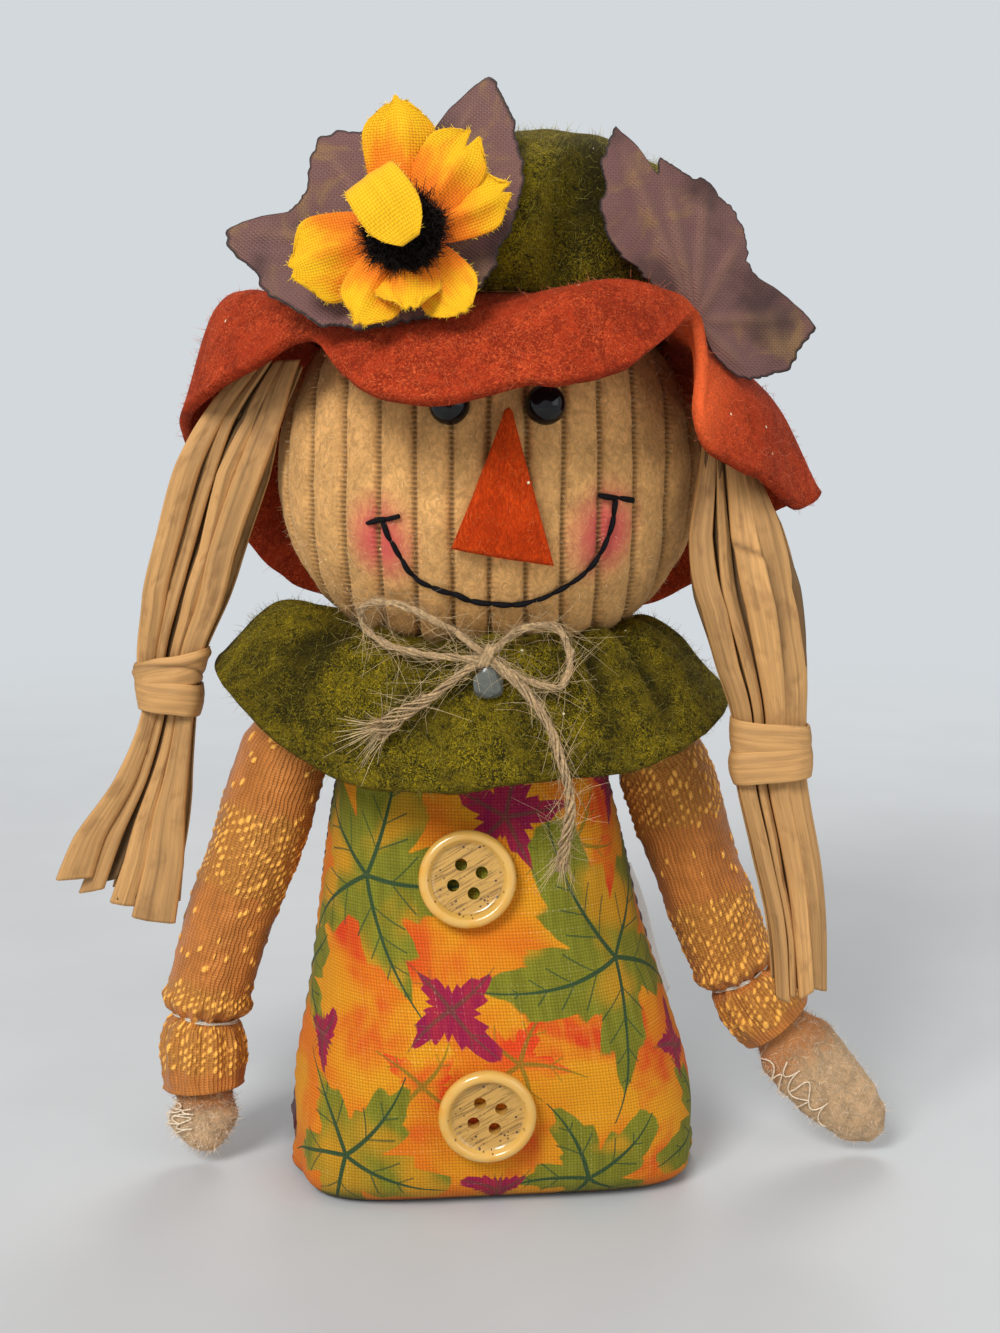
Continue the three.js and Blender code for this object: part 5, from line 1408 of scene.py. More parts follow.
def nose(trim):
    top, left, right = np.array([[2.5, 8.0], [-4.3, -8.6], [8.0, -10.8]])

    def place(u, v):
        foot = left + (right - left) * u[..., None]
        flat = top + (foot - top) * v[..., None]
        inner = 4 * u * (1 - u) * arch(v) ** 0.5
        spots = on_head(flat[..., 0], HEAD_Z + flat[..., 1], 1.35)
        return spots + FRONT * (0.35 * inner + 0.12 * noise(spots, 2.4, 3))[..., None]

    felt = pile_felt("nose_felt", tint("#a82e06"), trim.nose, tint("#d95214"), 1.5, 0.25, 0.3, 0.6)
    patch = walled(formed("nose_patch", 28, 40, place), NOSE_FELT)
    finished(patch, felt, "root", "orange_felt", "nose")
    wool = hairs("nose_wool", trim.nose, tint("#e88a48"))
    fuzzed(patch, "nose_fuzz", 420, 0.9, 0.03, wool, "root", "orange_felt", seed=41)


def mouth():
    thread = plain_finish(
        "black_thread", (0.005, 0.004, 0.005), 0.75, scale=4, depth=0.6, Specular_IOR_Level=0.12)
    parts = []
    for number, route in enumerate((MOUTH, MOUTH_END_LEFT, MOUTH_END_RIGHT)):
        path = Route([(x, 0, z) for x, z in route])
        share = np.linspace(0, 1, int(path.length / 0.22))
        flat = path.at(share)
        stitch = np.abs(np.sin(math.pi * share * path.length / 2.6)) ** 0.5
        wander = 0.18 * noise(flat, 1.6, 45)
        line = on_head(flat[:, 0] + wander, HEAD_Z + flat[:, 2] + wander, 0.4 + 0.45 * stitch)
        thick = 0.23 + 0.14 * stitch + 0.06 * noise(flat, 2.1, 46)
        parts.append(piped(f"mouth_{number}", line, thick, 8))
    finished(joined("mouth_stitches", parts), thread, "root", "black_thread", "mouth_thread")


def make_face(cloth, hat, trim):
    eyes()
    nose(trim)
    mouth()


class DOLL_OT_face(DollPiece, bpy.types.Operator):
    """Sew on the bead eyes, the felt nose and the stitched mouth"""

    bl_idname = "doll.face"
    bl_label = "Face"
    make = staticmethod(make_face)


# Hat

def brim(hat):
    def place(u, v):
        angle = compass(u)
        spots = brim_spots(angle, v)
        soft = 0.5 * noise(spots, 8, 51) + 0.28 * noise(spots, 3, 52)
        limp = ease(0.1, 0.6, v)[..., None] * soft[..., None]
        return spots + limp * (0.3, 0.3, 1)

    felt = pile_felt("brim_felt", hat.rust_dark, hat.rust, hat.rust_light, 2.2, 0.6, 1.0, 0.65)
    # The lit mark is painted light on the underside of the brim's fold, which lies in shade
    marks = lambda u, v: {"lit": 0.9 * bump(compass(u), 53, 8) * ease(0.25, 0.8, v)}
    brim = walled(formed("brim_felt", 300, 40, place, marks=marks), HAT_FELT)
    finished(brim, felt, "root", "rust_felt", "hat_brim")
    wool = hairs("brim_wool", hat.rust, tint("#e5835a"))
    fuzzed(brim, "brim_fuzz", 11500, 1.1, 0.028, wool, "root", "rust_felt", seed=53, lean=1.4)


def crown(hat):
    outline = Route([(r * SEAM_RADIUS, 0, h * CROWN_HEIGHT) for r, h in (
        (1, 0), (1.065, 0.15), (1.11, 0.38), (1.05, 0.6), (0.86, 0.78), (0.57, 0.91), (0.29, 0.975), (0, 1))])

    def place(u, v):
        angle = compass(u)
        profile = outline.at(v)
        reach, height = profile[..., 0], np.maximum(profile[..., 2], 0.7)
        share = height / CROWN_HEIGHT
        pleat = 4.6 * bump(angle, 20, 7.5) * arch(share**0.7)
        lip = 0.9 * bump(angle, 5, 7) * arch(share**0.7)
        puff = 0.7 * np.sin(np.radians(3 * angle + 40)) * share
        radius = np.maximum(reach - pleat + lip + puff * np.minimum(reach / 5, 1), 0)
        turn = np.radians(angle)
        x, y = radius * np.sin(turn) + 7 * share**2, -radius * np.cos(turn)
        spots = points(x, y, HAT_Z - HAT_TILT * y + height)
        soft = 0.45 * noise(spots, 9, 55) + 0.25 * noise(spots, 4, 56) - 0.45 * bump(angle, 50, 25)
        return spots + unit(spots - (0, 0, HAT_Z)) * (soft * ease(0, 0.15, v))[..., None]

    # The dark mark is painted shade: in the pleat, and along the crown's foot above the brim
    def marks(u, v):
        share = arch(np.clip(v * 1.3, 0, 1))
        return {"dark": 0.95 * bump(compass(u), 26, 9) * share + 0.4 * ease(0.1, 0.0, v)}

    felt, wool = olive_finishes(hat)
    crown = walled(formed("crown_felt", 220, 64, place, marks=marks), HAT_FELT, -1)
    finished(crown, felt, "root", "olive_felt", "hat_crown")
    outer = lambda spots, normals: (((spots - (0, 0, HAT_Z)) * normals).sum(1) > 0) + 0.01
    fuzzed(crown, "crown_fuzz", 9000, 1.3, 0.028, wool, "root", "olive_felt", seed=57, keep=outer, lean=1.3)


def make_hat(cloth, hat, trim):
    brim(hat)
    crown(hat)


class DOLL_OT_hat(DollPiece, bpy.types.Operator):
    """Shape the floppy rust brim and the pleated olive crown"""

    bl_idname = "doll.hat"
    bl_label = "Hat"
    make = staticmethod(make_hat)


# Outlines of the leaves as angle from straight up and reach, and how far they are rounded in between
LEAF_ROUNDING = 0.45
LEAF_LEFT = [
    (-150, 13.3), (-132, 15.1), (-106, 18.1), (-88, 20.6), (-80, 13.4), (-66, 12), (-42, 14.9), (-20, 12.6),
    (4, 11.4), (18, 12.6), (29, 21.3), (41, 19.1), (56, 17), (73, 15), (98, 12.5), (125, 11.6), (178, 10.8)]
LEAF_RIGHT = [
    (-165, 4.2), (-129, 5.2), (-94, 7.2), (-76, 10.3), (-68, 11.7), (-51, 14), (-37, 17.3), (-30, 18.8),
    (-22, 11.8), (-17, 13.4), (-10, 11.4), (7, 10.8), (32, 8.6), (60, 7.9), (85, 7.4), (99, 9.4), (113, 18),
    (126, 17.6), (134, 18.2), (149, 16.3), (158, 14), (168, 9), (179, 5)]


def leaf(name, middle, outline, depth, stalk, tips, seed):
    """A toothed cloth leaf, with ribs pressed from its stalk to its tips."""
    smooth = around(outline)
    turns = [a + t for t in (-360, 0, 360) for a, _ in outline]
    reaches = [r for _ in range(3) for _, r in outline]

    def flat(u, v):
        angle = compass(u)
        reach = LEAF_ROUNDING * smooth(angle) + (1 - LEAF_ROUNDING) * np.interp(angle, turns, reaches)
        turn = np.radians(angle)
        rim = points(reach * np.sin(turn), reach * np.cos(turn), 0 * reach)
        teeth = 0.5 * noise(rim, 2.2, seed + 2) + 0.45 * np.abs(noise(rim, 1.1, seed + 3))
        teeth = teeth + 0.2 * noise(rim, 0.45, seed + 4)
        reach = reach + (teeth - 0.2) * ease(0.75, 1, v)
        return points(middle[0] + v * reach * np.sin(turn), middle[1] + v * reach * np.cos(turn))

    def ribbed(u, v):
        spots = flat(u, v) - middle - stalk
        total = 0 * u
        for tip in tips:
            line = np.array(tip) - stalk
            along = np.clip((spots @ line) / line.dot(line), 0, 1)
            away = np.linalg.norm(spots - along[..., None] * line, axis=-1)
            total = np.maximum(
                total, np.exp(-((away / 0.75) ** 2)) * ease(0, 0.2, along) * ease(1, 0.7, along))
        return total

    def place(u, v):
        x, z = flat(u, v)[..., 0], flat(u, v)[..., 1]
        spots = points(x, depth(x, z), z)
        soft = 0.5 * noise(spots, 7, seed) + 0.25 * noise(spots, 2.6, seed + 1)
        return spots + FRONT * (0.35 + soft * ease(0.1, 0.5, v) + 0.4 * ribbed(u, v))[..., None]

    marks = lambda u, v: {"edge": v + 0 * u, "rib": ribbed(u, v)}
    return walled(formed(name, 420, 30, place, flat=flat, marks=marks, outward=False), LEAF_CLOTH)


def make_leaves(cloth, hat, trim):
    satin = leaf_satin(hat)
    left_tips = [(-20, 0.5), (-10, 11), (10, 18), (13, 3), (9, -9), (-6, -12)]
    right_tips = [(-9.6, 16), (-3.6, 12), (2, 10.5), (7, 4), (14, -6), (8, -13)]
    left = leaf("leaf_cloth_left", LEAF_LEFT_MIDDLE, LEAF_LEFT, leaf_left_depth, (0, -2), left_tips, 61)
    right = leaf(
        "leaf_cloth_right", LEAF_RIGHT_MIDDLE, LEAF_RIGHT, leaf_right_depth, (0.6, -6.9), right_tips, 65)
    finished(left, satin, "root", "leaf_cloth", "leaf_left")
    finished(right, satin, "root", "leaf_cloth", "leaf_right")


class DOLL_OT_leaves(DollPiece, bpy.types.Operator):
    """Cut the two cloth leaves with their toothed, singed edges"""

    bl_idname = "doll.leaves"
    bl_label = "Leaves"
    make = staticmethod(make_leaves)


# Petals by layer: the tip's angle from straight up, length, half width, curl forward and a notch at the tip
PETALS_BACK = [
    (-108, 13.8, 5.0, 1.2, 0.1), (-3, 14.8, 4.2, 0.8, 0.0), (68, 13.2, 3.5, 1.4, 0.3),
    (142, 11.6, 3.6, 2.2, 0.15)]
PETALS_FRONT = [(-152, 11.6, 3.6, 1.4, 0.0), (36, 13.8, 3.9, 1.2, 0.5), (176, 8.8, 3.8, 2.6, 0.1)]
PETAL_OVER = (-34, 13.6, 3.5, 0.0, 0.0)
# The way of the petal that is folded over the centre, as reach, nothing and lift
PETAL_FOLD = [(2.6, 0, 0.2), (5.2, 0, 0.9), (6.8, 0, 2.9), (5.9, 0, 5.2), (2.4, 0, 6.2), (-1.9, 0, 6.0)]


def petal(name, layer, angle, length, half, curl, notch, seed, over=None):
    """A cupped petal and the threads frayed from its edges."""
    turn = math.radians(angle)
    along = np.array([math.sin(turn), 0, math.cos(turn)])
    across = np.array([math.cos(turn), 0, -math.sin(turn)])

    def place(u, v):
        side = 2 * u - 1
        width = half * (0.42 + 0.58 * arch(0.02 + 0.66 * v) ** 0.9)
        width = width * np.sqrt(np.clip(1 - ease(0.6, 1.06, v) ** 2.6, 0, 1))
        reach = 0.6 + (length - 0.6) * v * (1 - notch * 0.3 * bump(side, 0.1, 0.35) * v**3)
        reach = reach + (0.25 * np.sin(7 * side + seed) - 1.1 * side**2) * v**4
        lift = 0.9 * curl * v**2
        if over:
            reach, lift = over.at(v)[..., 0], over.at(v)[..., 2]
        depth = layer - lift + ((side * 0.8) ** 2 - 0.8 * bump(side, 0.15, 0.26)) * arch(v)
        spots = np.array([FLOWER_X, 0, FLOWER_Z]) + along * reach[..., None]
        spots = spots + across * (side * width)[..., None]
        spots[..., 1] = depth + 0.5 * noise(spots, 2.8, seed) * v
        return spots

    flat = lambda u, v: points((2 * u - 1) * half + 9 * seed, length * v)
    marks = lambda u, v: {"root": (0.3 if over else 1.0) * (1 - v) + 0 * u}
    petal = walled(formed(name, 22, 34, place, flat=flat, marks=marks, outward=False), PETAL_CLOTH)
    rng = np.random.default_rng(seed)
    u = np.concatenate([np.full(40, 0.01), np.full(40, 0.99), rng.uniform(0.1, 0.9, 44)])
    v = np.concatenate([rng.uniform(0.35, 0.97, 80), np.full(44, 0.985)])
    roots = place(u[None], v[None])[0]
    outs = along + across * (2 * u - 1)[:, None] * 1.2 + 0.35 * rng.normal(size=(len(u), 3))
    fray = sown(name + "_fray", roots, outs, rng.uniform(0.12, 0.5, len(u)), 0.05, 0.4, seed + 5)
    return petal, fray


def make_sunflower(cloth, hat, trim):
    surface = petal_cloth(hat)
    fluff = hairs("petal_threads", hat.petal, tint("#f7d64a"))
    for node, petals in (("petals_back", PETALS_BACK), ("petals_front", PETALS_FRONT)):
        low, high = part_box(node)
        layer = (low[1] + high[1]) / 2 / MM
        made = []
        for k, shape in enumerate(petals):
            made.append(petal(f"{node}_{k}", layer, *shape, seed=70 + 9 * k + len(node)))
        if node == "petals_front":
            over = Route(PETAL_FOLD)
            made.append(petal("petal_over", layer, *PETAL_OVER, seed=99, over=over))
        cut = joined(node + "_cloth", [petal for petal, _ in made])
        finished(cut, surface, "root", "petal_cloth", node)
        finished(joined(node + "_fray", [fray for _, fray in made]), fluff, "root", "petal_cloth")
    low, high = (np.array(corner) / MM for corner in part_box("flower_centre"))
    middle = np.array([(low[0] + high[0]) / 2, high[1], (low[2] + high[2]) / 2])

    def place(u, v):
        x, z, y = globe(u, v / 2)
        ring = points(x, -y * 0.62, z)
        return middle + 4.3 * ring * (1 + 0.08 * noise(ring * 9, 3, 81))[..., None]

    dome = formed("flower_pad", 48, 20, place)
    black = plain_finish(
        "black_pile", (0.006, 0.004, 0.004), 0.95, scale=3, depth=0.8, Specular_IOR_Level=0.1)
    finished(dome, black, "root", "black_pile", "flower_centre")
    pile = hairs("black_fibres", (0.004, 0.003, 0.003), (0.014, 0.009, 0.007), 0.45, 0.0)
    fuzzed(dome, "flower_pile", 2600, 1.5, 0.07, pile, "root", "black_pile", lean=0.6, seed=83)
    green = plain_finish("green_plastic", (0.05, 0.14, 0.03), 0.4, scale=0.9, depth=0.4)
    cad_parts["flower_calyx"].data.materials.clear()
    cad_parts["flower_calyx"].data.materials.append(green)


class DOLL_OT_sunflower(DollPiece, bpy.types.Operator):
    """Build the cloth sunflower with its fuzzy black centre"""

    bl_idname = "doll.sunflower"
    bl_label = "Sunflower"
    make = staticmethod(make_sunflower)


# Collar and bow

PIGTAIL_ROOM = -35.2  # the collar is bare of loose wool beyond this, where the left pigtail swings past


def make_collar(cloth, hat, trim):
    def place(u, v):
        angle = compass(u)
        spots = collar_spots(angle, v)
        limp = 0.45 * noise(spots, 7, 91) + 0.25 * noise(spots, 2.8, 92)
        folds = sum(deep * bump(angle, middle, wide) for middle, wide, deep in COLLAR_FOLDS)
        folds = folds * arch(v) ** 0.8
        gathers = 0.7 * np.sin(np.radians(23 * angle) + 1.5 * noise(spots, 9, 94))
        gathers = gathers * ease(0.6, 0.1, v) * ease(0, 0.1, v)
        return spots + (limp * ease(0.15, 0.7, v) + folds + gathers)[..., None] * (0.3, 0.3, 1)

    # The dark mark is painted shade: in the sunken folds, and along the inner edge round the neck
    def marks(u, v):
        deep = sum(-deep * bump(compass(u), middle, wide) for middle, wide, deep in COLLAR_FOLDS)
        return {"dark": 0.85 * np.clip(0.8 * deep, 0, 1) * arch(v) + 0.5 * ease(0.14, 0.0, v)}

    felt, wool = olive_finishes(hat)
    collar = walled(formed("collar_felt", 360, 48, place, marks=marks), HAT_FELT)
    finished(collar, felt, "root", "olive_felt", "collar")
    clear = lambda spots, normals: spots[:, 0] > PIGTAIL_ROOM
    fuzzed(
        collar, "collar_fuzz", 11500, 1.3, 0.028, wool, "root", "olive_felt", lean=1.4, seed=93, keep=clear)


class DOLL_OT_collar(DollPiece, bpy.types.Operator):
    """Gather the olive felt ruffle round the neck"""

    bl_idname = "doll.collar"
    bl_label = "Collar"
    make = staticmethod(make_collar)


# Routes of the bow's twine as across, rise and lift off the collar
PLIES, PLY_TURN = 9, 8.5  # strands in the jute, and the length in which they go round once
LOOP_LEFT = [
    (0, 0, 1.2), (-5.4, 3.4, 0.9), (-11, 6, 0.9), (-15.4, 5.8, 0.9), (-16.4, 3.4, 0.9), (-13.6, 1.2, 0.9),
    (-8, 0, 0.6), (0, -0.4, 1.2)]
LOOP_RIGHT = [
    (0, 0, 1.2), (4.4, 3, 0.9), (8.4, 3.2, 0.9), (10.2, 0.6, 0.9), (9.4, -3.6, 0.9), (6, -3.4, 0.6),
    (0, -0.4, 1.2)]
TAIL_LEFT = [(0, 0, 1.2), (-5.6, -4, 0.4), (-10, -7, 0.3), (-14, -9.4, 0.4)]
TAIL_RIGHT = [(0, 0, 1.2), (5, -4.4, 1.6), (8, -9.2, 0.6), (9.4, -13.4, 0.9)]
TAIL_HANG = [(10.2, -18, 1.2), (9.8, -22.6, 2.4), (9.2, -27, 4)]


def laid(route):
    """A route of [across, rise, lift] set down on the collar and the chin."""
    trees = []
    for node in ("collar", "head_cover"):
        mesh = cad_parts[node].data
        trees.append(BVHTree.FromPolygons([v.co for v in mesh.vertices], [p.vertices for p in mesh.polygons]))

    def front(x, z):
        hits = [tree.ray_cast(Vector((x * MM, -0.5, z * MM)), Vector((0, 1, 0)))[0] for tree in trees]
        return min([hit.y / MM for hit in hits if hit] or [-COLLAR_NECK])

    path = Route(route)
    spots = []
    for x, rise, lift in path.at(np.linspace(0, 1, 2 * len(route) + 1)):
        near = [(0, 0), (1.9, 0), (-1.9, 0), (0, 1.9), (0, -1.9)]
        depth = min(front(BOW_X + x + dx, BOW_Z + rise + dz) for dx, dz in near)
        spots.append((BOW_X + x, depth - 1.25 - lift, BOW_Z + rise))
    return spots


def twisted(name, route, seed, spread=1.0, loose=0.0):
    """Strands of jute wound loosely round each other, with hairs."""
    path = Route(route)
    line = path.at(np.linspace(0, 1, max(int(path.length / 0.35), 12)))
    across, forward = sided(line)
    rng = np.random.default_rng(seed)
    turn = np.linspace(0, TURN * path.length / PLY_TURN, len(line))[:, None] + seed
    share = np.linspace(0, 1, len(line))[:, None]
    parts = []
    for ply in range(PLIES):
        angle = turn + TURN * ply / PLIES + 0.9 * noise(line, 4, seed + ply)[:, None]
        ring = np.cos(angle) * across + np.sin(angle) * forward
        away = rng.uniform(0.16, 0.44) + loose * ease(0.35, 1, share) * rng.uniform(0.2, 1.0)
        strand = line + away * ring + 0.12 * noise(line, 1.4, seed + ply)[:, None] * ring
        thick = rng.uniform(0.11, 0.2) * (1 + 0.25 * noise(line, 1.5, seed + ply))
        thick = thick * (1 - 0.35 * loose * share[:, 0])
        parts.append(piped(f"{name}_{ply}", strand, thick, 5))
    count = int(7 * path.length * spread)
    spot = rng.integers(0, len(line), count)
    angle = rng.uniform(0, TURN, (count, 1))
    out = np.cos(angle) * across[spot] + np.sin(angle) * forward[spot]
    heading = out * rng.uniform(0.1, 0.9, (count, 1))
    heading = heading + path.heading(spot / len(line)) * rng.choice([-1, 1], (count, 1))
    lengths = rng.uniform(0.8, 4.8, count)
    fibres = sown(name + "_hair", line[spot] + 0.6 * out, heading, lengths, 0.035, 0.7, seed + 1)
    return parts, fibres


def frayed(name, end, heading, count, length, seed):
    """A twine's end that opens into loose fibres."""
    rng = np.random.default_rng(seed)
    heads = heading + 0.34 * rng.normal(size=(count, 3))
    roots = end - 1.5 * heading + 0.6 * rng.normal(size=(count, 3))
    return sown(name, roots, heads, length * rng.uniform(0.5, 1.0, count), 0.05, 0.3, seed)


def make_bow(cloth, hat, trim):
    right = laid(TAIL_RIGHT)
    edge = right[-1][1]
    hanging = [(BOW_X + x, edge + inward, BOW_Z + rise) for x, rise, inward in TAIL_HANG]
    left = laid(TAIL_LEFT)
    routes = [laid(LOOP_LEFT), laid(LOOP_RIGHT), left, right + hanging]
    parts, fluff = [], []
    for number, route in enumerate(routes):
        loose = (0.0, 0.0, 1.0, 0.35)[number]
        plies, fibres = twisted(f"ply_{number}", route, 7 + number, 1.0 if number < 2 else 1.2, loose)
        parts += plies
        fluff.append(fibres)
    knot = np.array(laid([(0, 0, 1.2), (0.1, 0, 1.2)])[0])
    for wrap, lean in enumerate((-0.5, 0.25, 0.7)):
        turn = np.linspace(0, TURN, 30)
        across = 0.7 * np.cos(turn) * math.cos(lean) + 0.4 * (wrap - 1)
        ring = points(across, 1.2 * np.sin(turn), 1.3 * np.cos(turn))
        parts.append(piped(f"wrap_{wrap}", knot + ring * (1, 0.8, 1), 0.27, 8))
    ends = [(left, 70, 5.2), (right + hanging, 40, 3.6)]
    for number, (route, count, length) in enumerate(ends):
        last, end = np.array(route[-2:])
        fluff.append(frayed(f"fray_{number}", end, unit(end - last), count, length, 17 + number))
    jute = plain_finish("jute", trim.twine, 0.9, scale=2.4, depth=0.8, vary=0.45, Sheen_Weight=0.2)
    bow = joined("bow_twine", parts)
    finished(bow, jute, "root", "twine", "twine_bow")
    fibre = hairs("jute_fibres", trim.twine, tint("#e0c79a"))
    finished(joined("bow_fibres", fluff), fibre, "root", "twine")
    low, high = (np.array(corner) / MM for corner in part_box("glue_blob"))
    centre, half = (low + high) / 2, (high - low) / 2

    def place(u, v):
        ring = points(*globe(u, v))
        drop = centre + half * ring * (1.1 + 0.25 * noise(ring * 3, 1.8, 19))[..., None]
        return drop + UP * np.maximum(ring[..., 2:], 0) * 1.2

    glue = plain_finish(
        "hot_glue", (0.2, 0.21, 0.18), 0.18, scale=0.7, depth=0.1, Transmission_Weight=0.5, IOR=1.48)
    finished(formed("glue_drop", 48, 32, place), glue, "root", "hot_glue", "glue_blob")


class DOLL_OT_bow(DollPiece, bpy.types.Operator):
    """Tie the jute twine bow over its blob of glue"""

    bl_idname = "doll.bow"
    bl_label = "Twine bow"
    make = staticmethod(make_bow)


# Arms

SLEEVES = {
    "left": [
        (1, 3, -0.051), (6, 3.2, 0.059), (9.6, 3.8, 0.239), (13.9, 4.6, 0.434), (17.4, 5.6, 0.645),
        (18.2, 6.4, 0.783), (18, 7, 0.882)],
    "right": [
        (0.6, 2.4, -0.025), (5.6, 2.6, 0.088), (9.4, 2.8, 0.264), (12.8, 3, 0.434), (17.6, 3.4, 0.613),
        (23.4, 3.8, 0.734)],
}
HANDS = {
    "left": [(18, 6.9, 0.852), (18, 7.2, 0.916), (17.6, 8, 1)],
    "right": [(21.8, 3.8, 0.704), (28, 4.2, 0.835), (36.6, 4.8, 0.987)],
}
NUB_BANDS = {
    "left": [(0.28, 0.5), (0.71, 0.79), (0.8, 0.93)],
    "right": [(0.1, 0.34), (0.54, 0.79), (0.81, 0.95)],
}
NUB_PITCH, NUB_STEP = 0.82, 1.3
# Threads on the back of a hand: first and last share of its length, first and last angle round it
LINT = [(0.22, 0.56, 0.3, 0.7), (0.36, 0.7, 0.6, 0.2), (0.16, 0.4, 1.0, 0.6)]
CUFF_END = 0.965
CUFF_TURN = 0.9  # share of the sleeve's rows that lie outside, before the cuff turns in
KNIT_RADIUS = 6.0  # what the knit's columns are counted round
# Share of the sleeve at which its thread is wound, and the radius and the number of the turns
WRIST, WRIST_RADIUS, WRIST_TURNS = 0.8, 4.5, 3
SLEEVE_RADIUS = through([
    [0, 1.26], [0.06, 4.536], [0.16, 6.3], [0.46, 6.1], [0.72, 5.742], [0.8, 5.1], [0.88, 5.8], [1, 5.452]])
HAND_RADIUS = through([[0, 3.264], [0.12, 3.743], [0.3, 3], [0.62, 2.76], [0.9, 1.56], [1, 0.6]])
HAND_SPREAD = {
    "left": through([[0, 1], [0.2, 1.1], [0.45, 1.6], [1, 1.3]]),
    "right": through([[0, 1], [0.13, 1.2], [0.26, 1.75], [0.5, 1.7], [0.8, 1.85], [0.93, 2.1], [1, 2.2]]),
}


def shoulder_face(side):
    return BAG_MIDDLE(SHOULDER_Z) + side * (BAG_WIDTH(SHOULDER_Z) + 2.9)


def arm_route(route, side):
    face = shoulder_face(side)
    return Route(
        [(face + side * out, -forward, SHOULDER_Z - drop * ARM_REACH) for out, forward, drop in route])


def tube_spots(path, share, angle, radius, width=1.0):
    """Spots round a path: angle runs from the front across, as in the frame."""
    heading = path.heading(share)
    across = unit(np.cross(heading, FRONT))
    forward = unit(np.cross(across, heading))
    x, z = radius * np.sin(angle) * width, radius * np.cos(angle)
    return path.at(share) + across * x[..., None] + forward * z[..., None]


def knitted(name, side, path):
    """A sleeve that puckers under its thread and turns in at the cuff."""
    face = shoulder_face(side)

    def read(u, v):
        outer = v <= CUFF_TURN
        share = np.where(outer, v / CUFF_TURN, 1 - (v - CUFF_TURN) * 1.1) * CUFF_END
        return share, outer, TURN * u

    def banded(u, v):
        share, outer, angle = read(u, v)
        ragged = share + 0.02 * noise(points(3 * angle, 0 * angle, 0 * angle), 1.0, 8)
        return sum(ease(a, a + 0.02, ragged) * ease(b, b - 0.02, ragged) for a, b in NUB_BANDS[name]) * outer

    def nubbed(u, v):
        """Gold dashes along the ribs, every second row of them set half a step on."""
        share, outer, angle = read(u, v)
        across, along = angle * KNIT_RADIUS, share * path.length
        drift = points(across, along, 0 * along)
        along, across = along + 0.8 * noise(drift, 2.6, 5), across + 0.3 * noise(drift, 2.2, 6)
        column = np.round(across / NUB_PITCH)
        along = along + NUB_STEP / 2 * (column % 2)
        row = np.round(along / NUB_STEP)
        chance = np.abs(np.sin(12.9898 * column + 78.233 * row) * 43758.5453) % 1
        slant = (across - column * NUB_PITCH) - 0.25 * (along - row * NUB_STEP)
        grow = 0.75 + 0.5 * chance
        dash = np.exp(-((slant / 0.26 / grow) ** 2) - ((along - row * NUB_STEP) / 0.46 / grow) ** 2)
        strewn = np.maximum(banded(u, v), 0.9 * (chance > 0.93) * outer * ease(0.02, 0.1, share))
        return dash * (0.3 + 0.7 * chance) * strewn

    def place(u, v):
        share, outer, angle = read(u, v)
        radius = SLEEVE_RADIUS(share) - np.where(outer, 0, 0.8)
        spots = tube_spots(path, share, angle, radius)
        out = unit(spots - path.at(share))
        folds = 0.3 * noise(spots, 6, 101) + 0.12 * noise(spots * (1, 1, 2.5), 2.5, 102)
        pucker = bump(share, 0.785, 0.03) * (0.35 * np.sin(14 * angle + 3 * noise(spots, 4, 7)) + 0.25)
        pucker = pucker - 1.0 * bump(share, 0.8, 0.012) + 0.55 * bump(share, 0.762, 0.016)
        tucks = pucker + 0.3 * np.sin(11 * angle) * ease(0.8, 0.84, share) * ease(1, 0.85, share)
        spots = spots + out * ((folds + tucks) * outer + 0.3 * nubbed(u, v))[..., None]
        spots[..., 0] = np.maximum(side * spots[..., 0], side * face) * side
        return spots

    flat = lambda u, v: points(TURN * u * KNIT_RADIUS, read(u, v)[0] * path.length)
    marks = lambda u, v: {"nub": nubbed(u, v), "gold": banded(u, v)}
    return formed("sleeve_knit_" + name, 200, 300, place, flat=flat, marks=marks)


def hand(name, side, path):
    def place(u, v):
        angle = TURN * u
        spots = tube_spots(path, v, angle, HAND_RADIUS(v), HAND_SPREAD[name](v))
        out = unit(spots - path.at(v))
        rough = 0.5 * noise(spots, 4, 111) + 0.2 * noise(spots, 1.4, 112) + 0.3
        spots = spots + out * (rough * ease(0.1, 0.35, v))[..., None]
        spots[..., 2] = np.maximum(spots[..., 2], FLOOR_GAP)
        return spots

    return formed(
        "hand_cloth_" + name, 64, 56, place, marks=lambda u, v: {"root": ease(0.5, 0.08, v) + 0 * u})


def lint(name, path):
    """A few white threads caught on top of the hand."""
    parts = []
    for k, (start, end, low, high) in enumerate(LINT):
        bend = np.linspace(0, 1, 60)
        share = start + (end - start) * bend + 0.035 * np.sin(11 * bend + 2 * k)
        angle = low + (high - low) * bend + 0.25 * np.sin(14 * bend + k) + 0.5 * bend**3
        spots = tube_spots(path, share, angle, HAND_RADIUS(share) + 0.55, HAND_SPREAD[name](share))
        parts.append(piped(f"lint_{name}_{k}", spots + 0.25 * noise(spots, 2, 33 + k)[:, None] * UP, 0.1, 5))
    return joined("hand_lint_" + name, parts)


